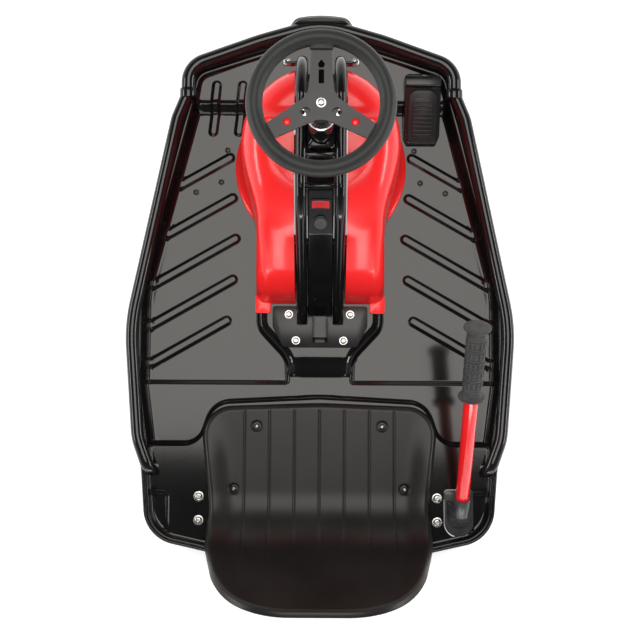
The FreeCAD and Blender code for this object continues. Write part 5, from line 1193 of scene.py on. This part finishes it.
def bolts(name, spots, material, body, slot):
    """Heads at these places: x, y, z, radius and the way that each faces, in millimetres."""
    mesh = bpy.data.meshes.new("spots")
    mesh.from_pydata([tuple(np.array(spot[:3], float) * MM) for spot in spots], [], [])
    sizes = mesh.attributes.new("head_radius", "FLOAT", "POINT")
    facing = mesh.attributes.new("facing", "FLOAT_VECTOR", "POINT")
    for number, spot in enumerate(spots):
        sizes.data[number].value = spot[3]
        facing.data[number].vector = Vector(spot[4]).normalized()
    marks = place("spots", mesh)

    def tree_of_bolts(tree, size):
        """A head at each place, turned and sized as the place says."""
        at = tree.add("GeometryNodeObjectInfo", {}, {"Object": marks}).out("Geometry")
        piece = tree.add("GeometryNodeObjectInfo", {}, {"Object": head}).out("Geometry")
        reach = tree.add("GeometryNodeInputNamedAttribute", {"data_type": "FLOAT"}, {"Name": "head_radius"})
        way = tree.add("GeometryNodeInputNamedAttribute", {"data_type": "FLOAT_VECTOR"}, {"Name": "facing"})
        turn = tree.add("FunctionNodeAlignRotationToVector", {"axis": "Z"}, {"Vector": way})
        return tree.add("GeometryNodeInstanceOnPoints", {}, {
            "Points": at, "Instance": piece, "Rotation": turn, "Scale": reach * size("Head Size")})

    made = grown(name, {"Head Size": 1.0}, tree_of_bolts, material)
    smooth(made.data, 35)
    bpy.data.objects.remove(marks)
    return settle(made, body, slot)


UP = (0, 0, 1)
black_bolt = finish("black_bolt", [(0.03, 0.03, 0.03), (0.05, 0.05, 0.05)], 0.3, patch=0.01, metallic=0.6)
bolts("foot_plate_bolts", [(x, y, foot_plate_top, 5.7, UP)
                           for x, y in ((-22, 56), (-22, -54), (-69, 43), (-69, -42))],
      bright_steel, "chassis", "bright_steel")
bolts("deck_bolts", [(x, y, platform_top, 6.8, UP)
                     for x, y in ((-344.7, 211.2), (-386.3, 211.2), (-346.5, -207), (-388, -207))],
      bright_steel, "chassis", "bright_steel")
bolts("seat_bolts", [(x, y, 123.8, 5.6, UP) for x, y in seat_bolts], black_bolt, "chassis", "black_frame")
bolts("seat_bolt_pins", [(x, y, 125.2, 1.7, UP) for x, y in seat_bolts],
      bright_steel, "chassis", "bright_steel")
bolts("caster_plate_bolts", [(x, y * side, floor_top + 0.2, 4.6, UP) for side in (1, -1)
                             for x, y in ((282.5, 171), (223, 182), (204, 228))],
      black_bolt, "chassis", "black_frame")
bolts("shroud_bolts", [(389.2, 58 * side, 261, 5.8, (-0.3, 0.2 * side, 0.9)) for side in (1, -1)],
      bright_steel, "chassis", "bright_steel")
bolts("steering_bolts", [(*wheel_at, plate_top + 0.2, 5.6, UP)], bright_steel, "steering", "bright_steel")
bpy.data.objects.remove(head)


# ---------------------------------------------------------------- drive wheel, fork, motor and chain
# The front wheel steers: a welded fork carries it and the motor that drives it by a
# roller chain; the tyre is solid rubber with three grooves and sipes across its shoulders.
# The sealed battery pack stands behind it under the hump.
dress(frame_paint, "drive_fork")
dress(zinc_steel, "front_axle")
hub_plastic = finish("hub_plastic", [(0.025, 0.025, 0.026), (0.04, 0.04, 0.041)], 0.36,
                     patch=0.03, grain=0.00005)
motor_paint = finish("motor_paint", [(0.03, 0.03, 0.032), (0.045, 0.045, 0.047)], 0.3,
                     patch=0.03, metallic=0.4)
battery_case = finish("battery_case", [(0.035, 0.037, 0.042), (0.05, 0.052, 0.058)], 0.45,
                      patch=0.03, grain=0.00008)
tyre_rubber = finish("tyre_rubber", [(0.018, 0.018, 0.018), (0.03, 0.029, 0.028)], 0.72,
                     patch=0.03, uneven=0.14, grain=0.00015, grain_size=0.002)
dress(hub_plastic, "drive_hub")
dress(motor_paint, "drive_motor")
dress(battery_case, "battery_pack")
tyre = Form()
tyre_radius, sipe_depth = 100, 1.8
section = [(64, -20), (86, -24.2), (91, -24.4), (95.5, -22), (98.4, -19), (99.5, -16)]
for middle in (-10, 0, 10):
    section += [(tyre_radius, middle - 3.2), (tyre_radius, middle - 1.6), (96.6, middle - 1.2),
                (96.6, middle + 1.2), (tyre_radius, middle + 1.6), (tyre_radius, middle + 3.2)]
section += [(99.5, 16), (98.4, 19), (95.5, 22), (91, 24.4), (86, 24.2), (64, 20)]
rings = []
for step, turn in enumerate(turns(180)):
    ring = []
    for radius, width in section:
        on_shoulder = abs(width) > 13.5 and radius > 90
        reach = radius - (sipe_depth if on_shoulder and step % 6 < 2 else 0)
        ring.append((wheel_at[0] + reach * math.cos(turn), width, tyre_radius + reach * math.sin(turn)))
    rings.append(ring)
tyre.skin(rings, closed=True)
settle(tyre.made("grooved_drive_tyre", tyre_rubber, 30), "drive_wheel", "drive_tyre", "drive_tyre")

# The chain: inner and outer plates in turn on pins, round a wheel and a pinion over it.
chain_steel = finish("chain_steel", [(0.30, 0.29, 0.27), (0.42, 0.41, 0.39)], 0.35, patch=0.006, metallic=1.0)
chain_wheel, chain_pinion, chain_span, chain_pitch = 48.6, 15.6, 90.0, 12.7
chain_middle, link_plate = 33, 0.7
chain_lean = math.asin((chain_wheel - chain_pinion) / chain_span)
chain_line = [(chain_wheel * math.cos(turn), tyre_radius + chain_wheel * math.sin(turn))
              for turn in np.linspace(math.pi - chain_lean, 2 * math.pi + chain_lean, 60)]
chain_line += [(chain_pinion * math.cos(turn), tyre_radius + chain_span + chain_pinion * math.sin(turn))
               for turn in np.linspace(chain_lean, math.pi - chain_lean, 16)]
chain_length = np.linalg.norm(np.diff(np.array(chain_line), axis=0), axis=1).sum()
links = max(40, 2 * round(chain_length / chain_pitch))
link_spots = even(np.array(chain_line), links)
chain = Form()
for number, spot in enumerate(link_spots):
    after = link_spots[(number + 1) % links]
    run = unit(after - spot)
    length = np.linalg.norm(after - spot)
    outer = number % 2
    line = rounded(oblong((-2.6, -2.5), (length + 2.6, 2.5), 2.4), 9, finest=45)[0]
    ring = [(wheel_at[0] + spot[0] + run[0] * u - run[1] * v, spot[1] + run[1] * u + run[0] * v)
            for u, v in line]
    for side in (1, -1):
        near = chain_middle + side * (1.15 + 0.75 * outer)
        chain.skin([[(x, y, z) for x, z in ring] for y in sorted((near, near + link_plate * side))])
    chain.turned([(1.9, -2.6), (1.9, 2.6)], (wheel_at[0] + spot[0], chain_middle, spot[1]), (0, 1, 0), 10)
settle(chain.made("roller_chain", chain_steel), "steering", "chain_steel", "drive_chain")


# ---------------------------------------------------------------- casters
# Four pressed and zinc-plated forks: two on kingpins at the tail, which the lever tips,
# and two small ones at the front that only touch in a hard turn; wheels of hard plastic.
caster_tread = finish("caster_tread", [(0.03, 0.03, 0.031), (0.05, 0.05, 0.051)], 0.4,
                      patch=0.02, uneven=0.12, grain=0.00006)
for side in ("left", "right"):
    dress(zinc_steel, f"caster_fork_{side}", f"tip_fork_{side}", f"tip_mount_{side}")
    dress(caster_tread, f"caster_wheel_{side}", f"tip_wheel_{side}")
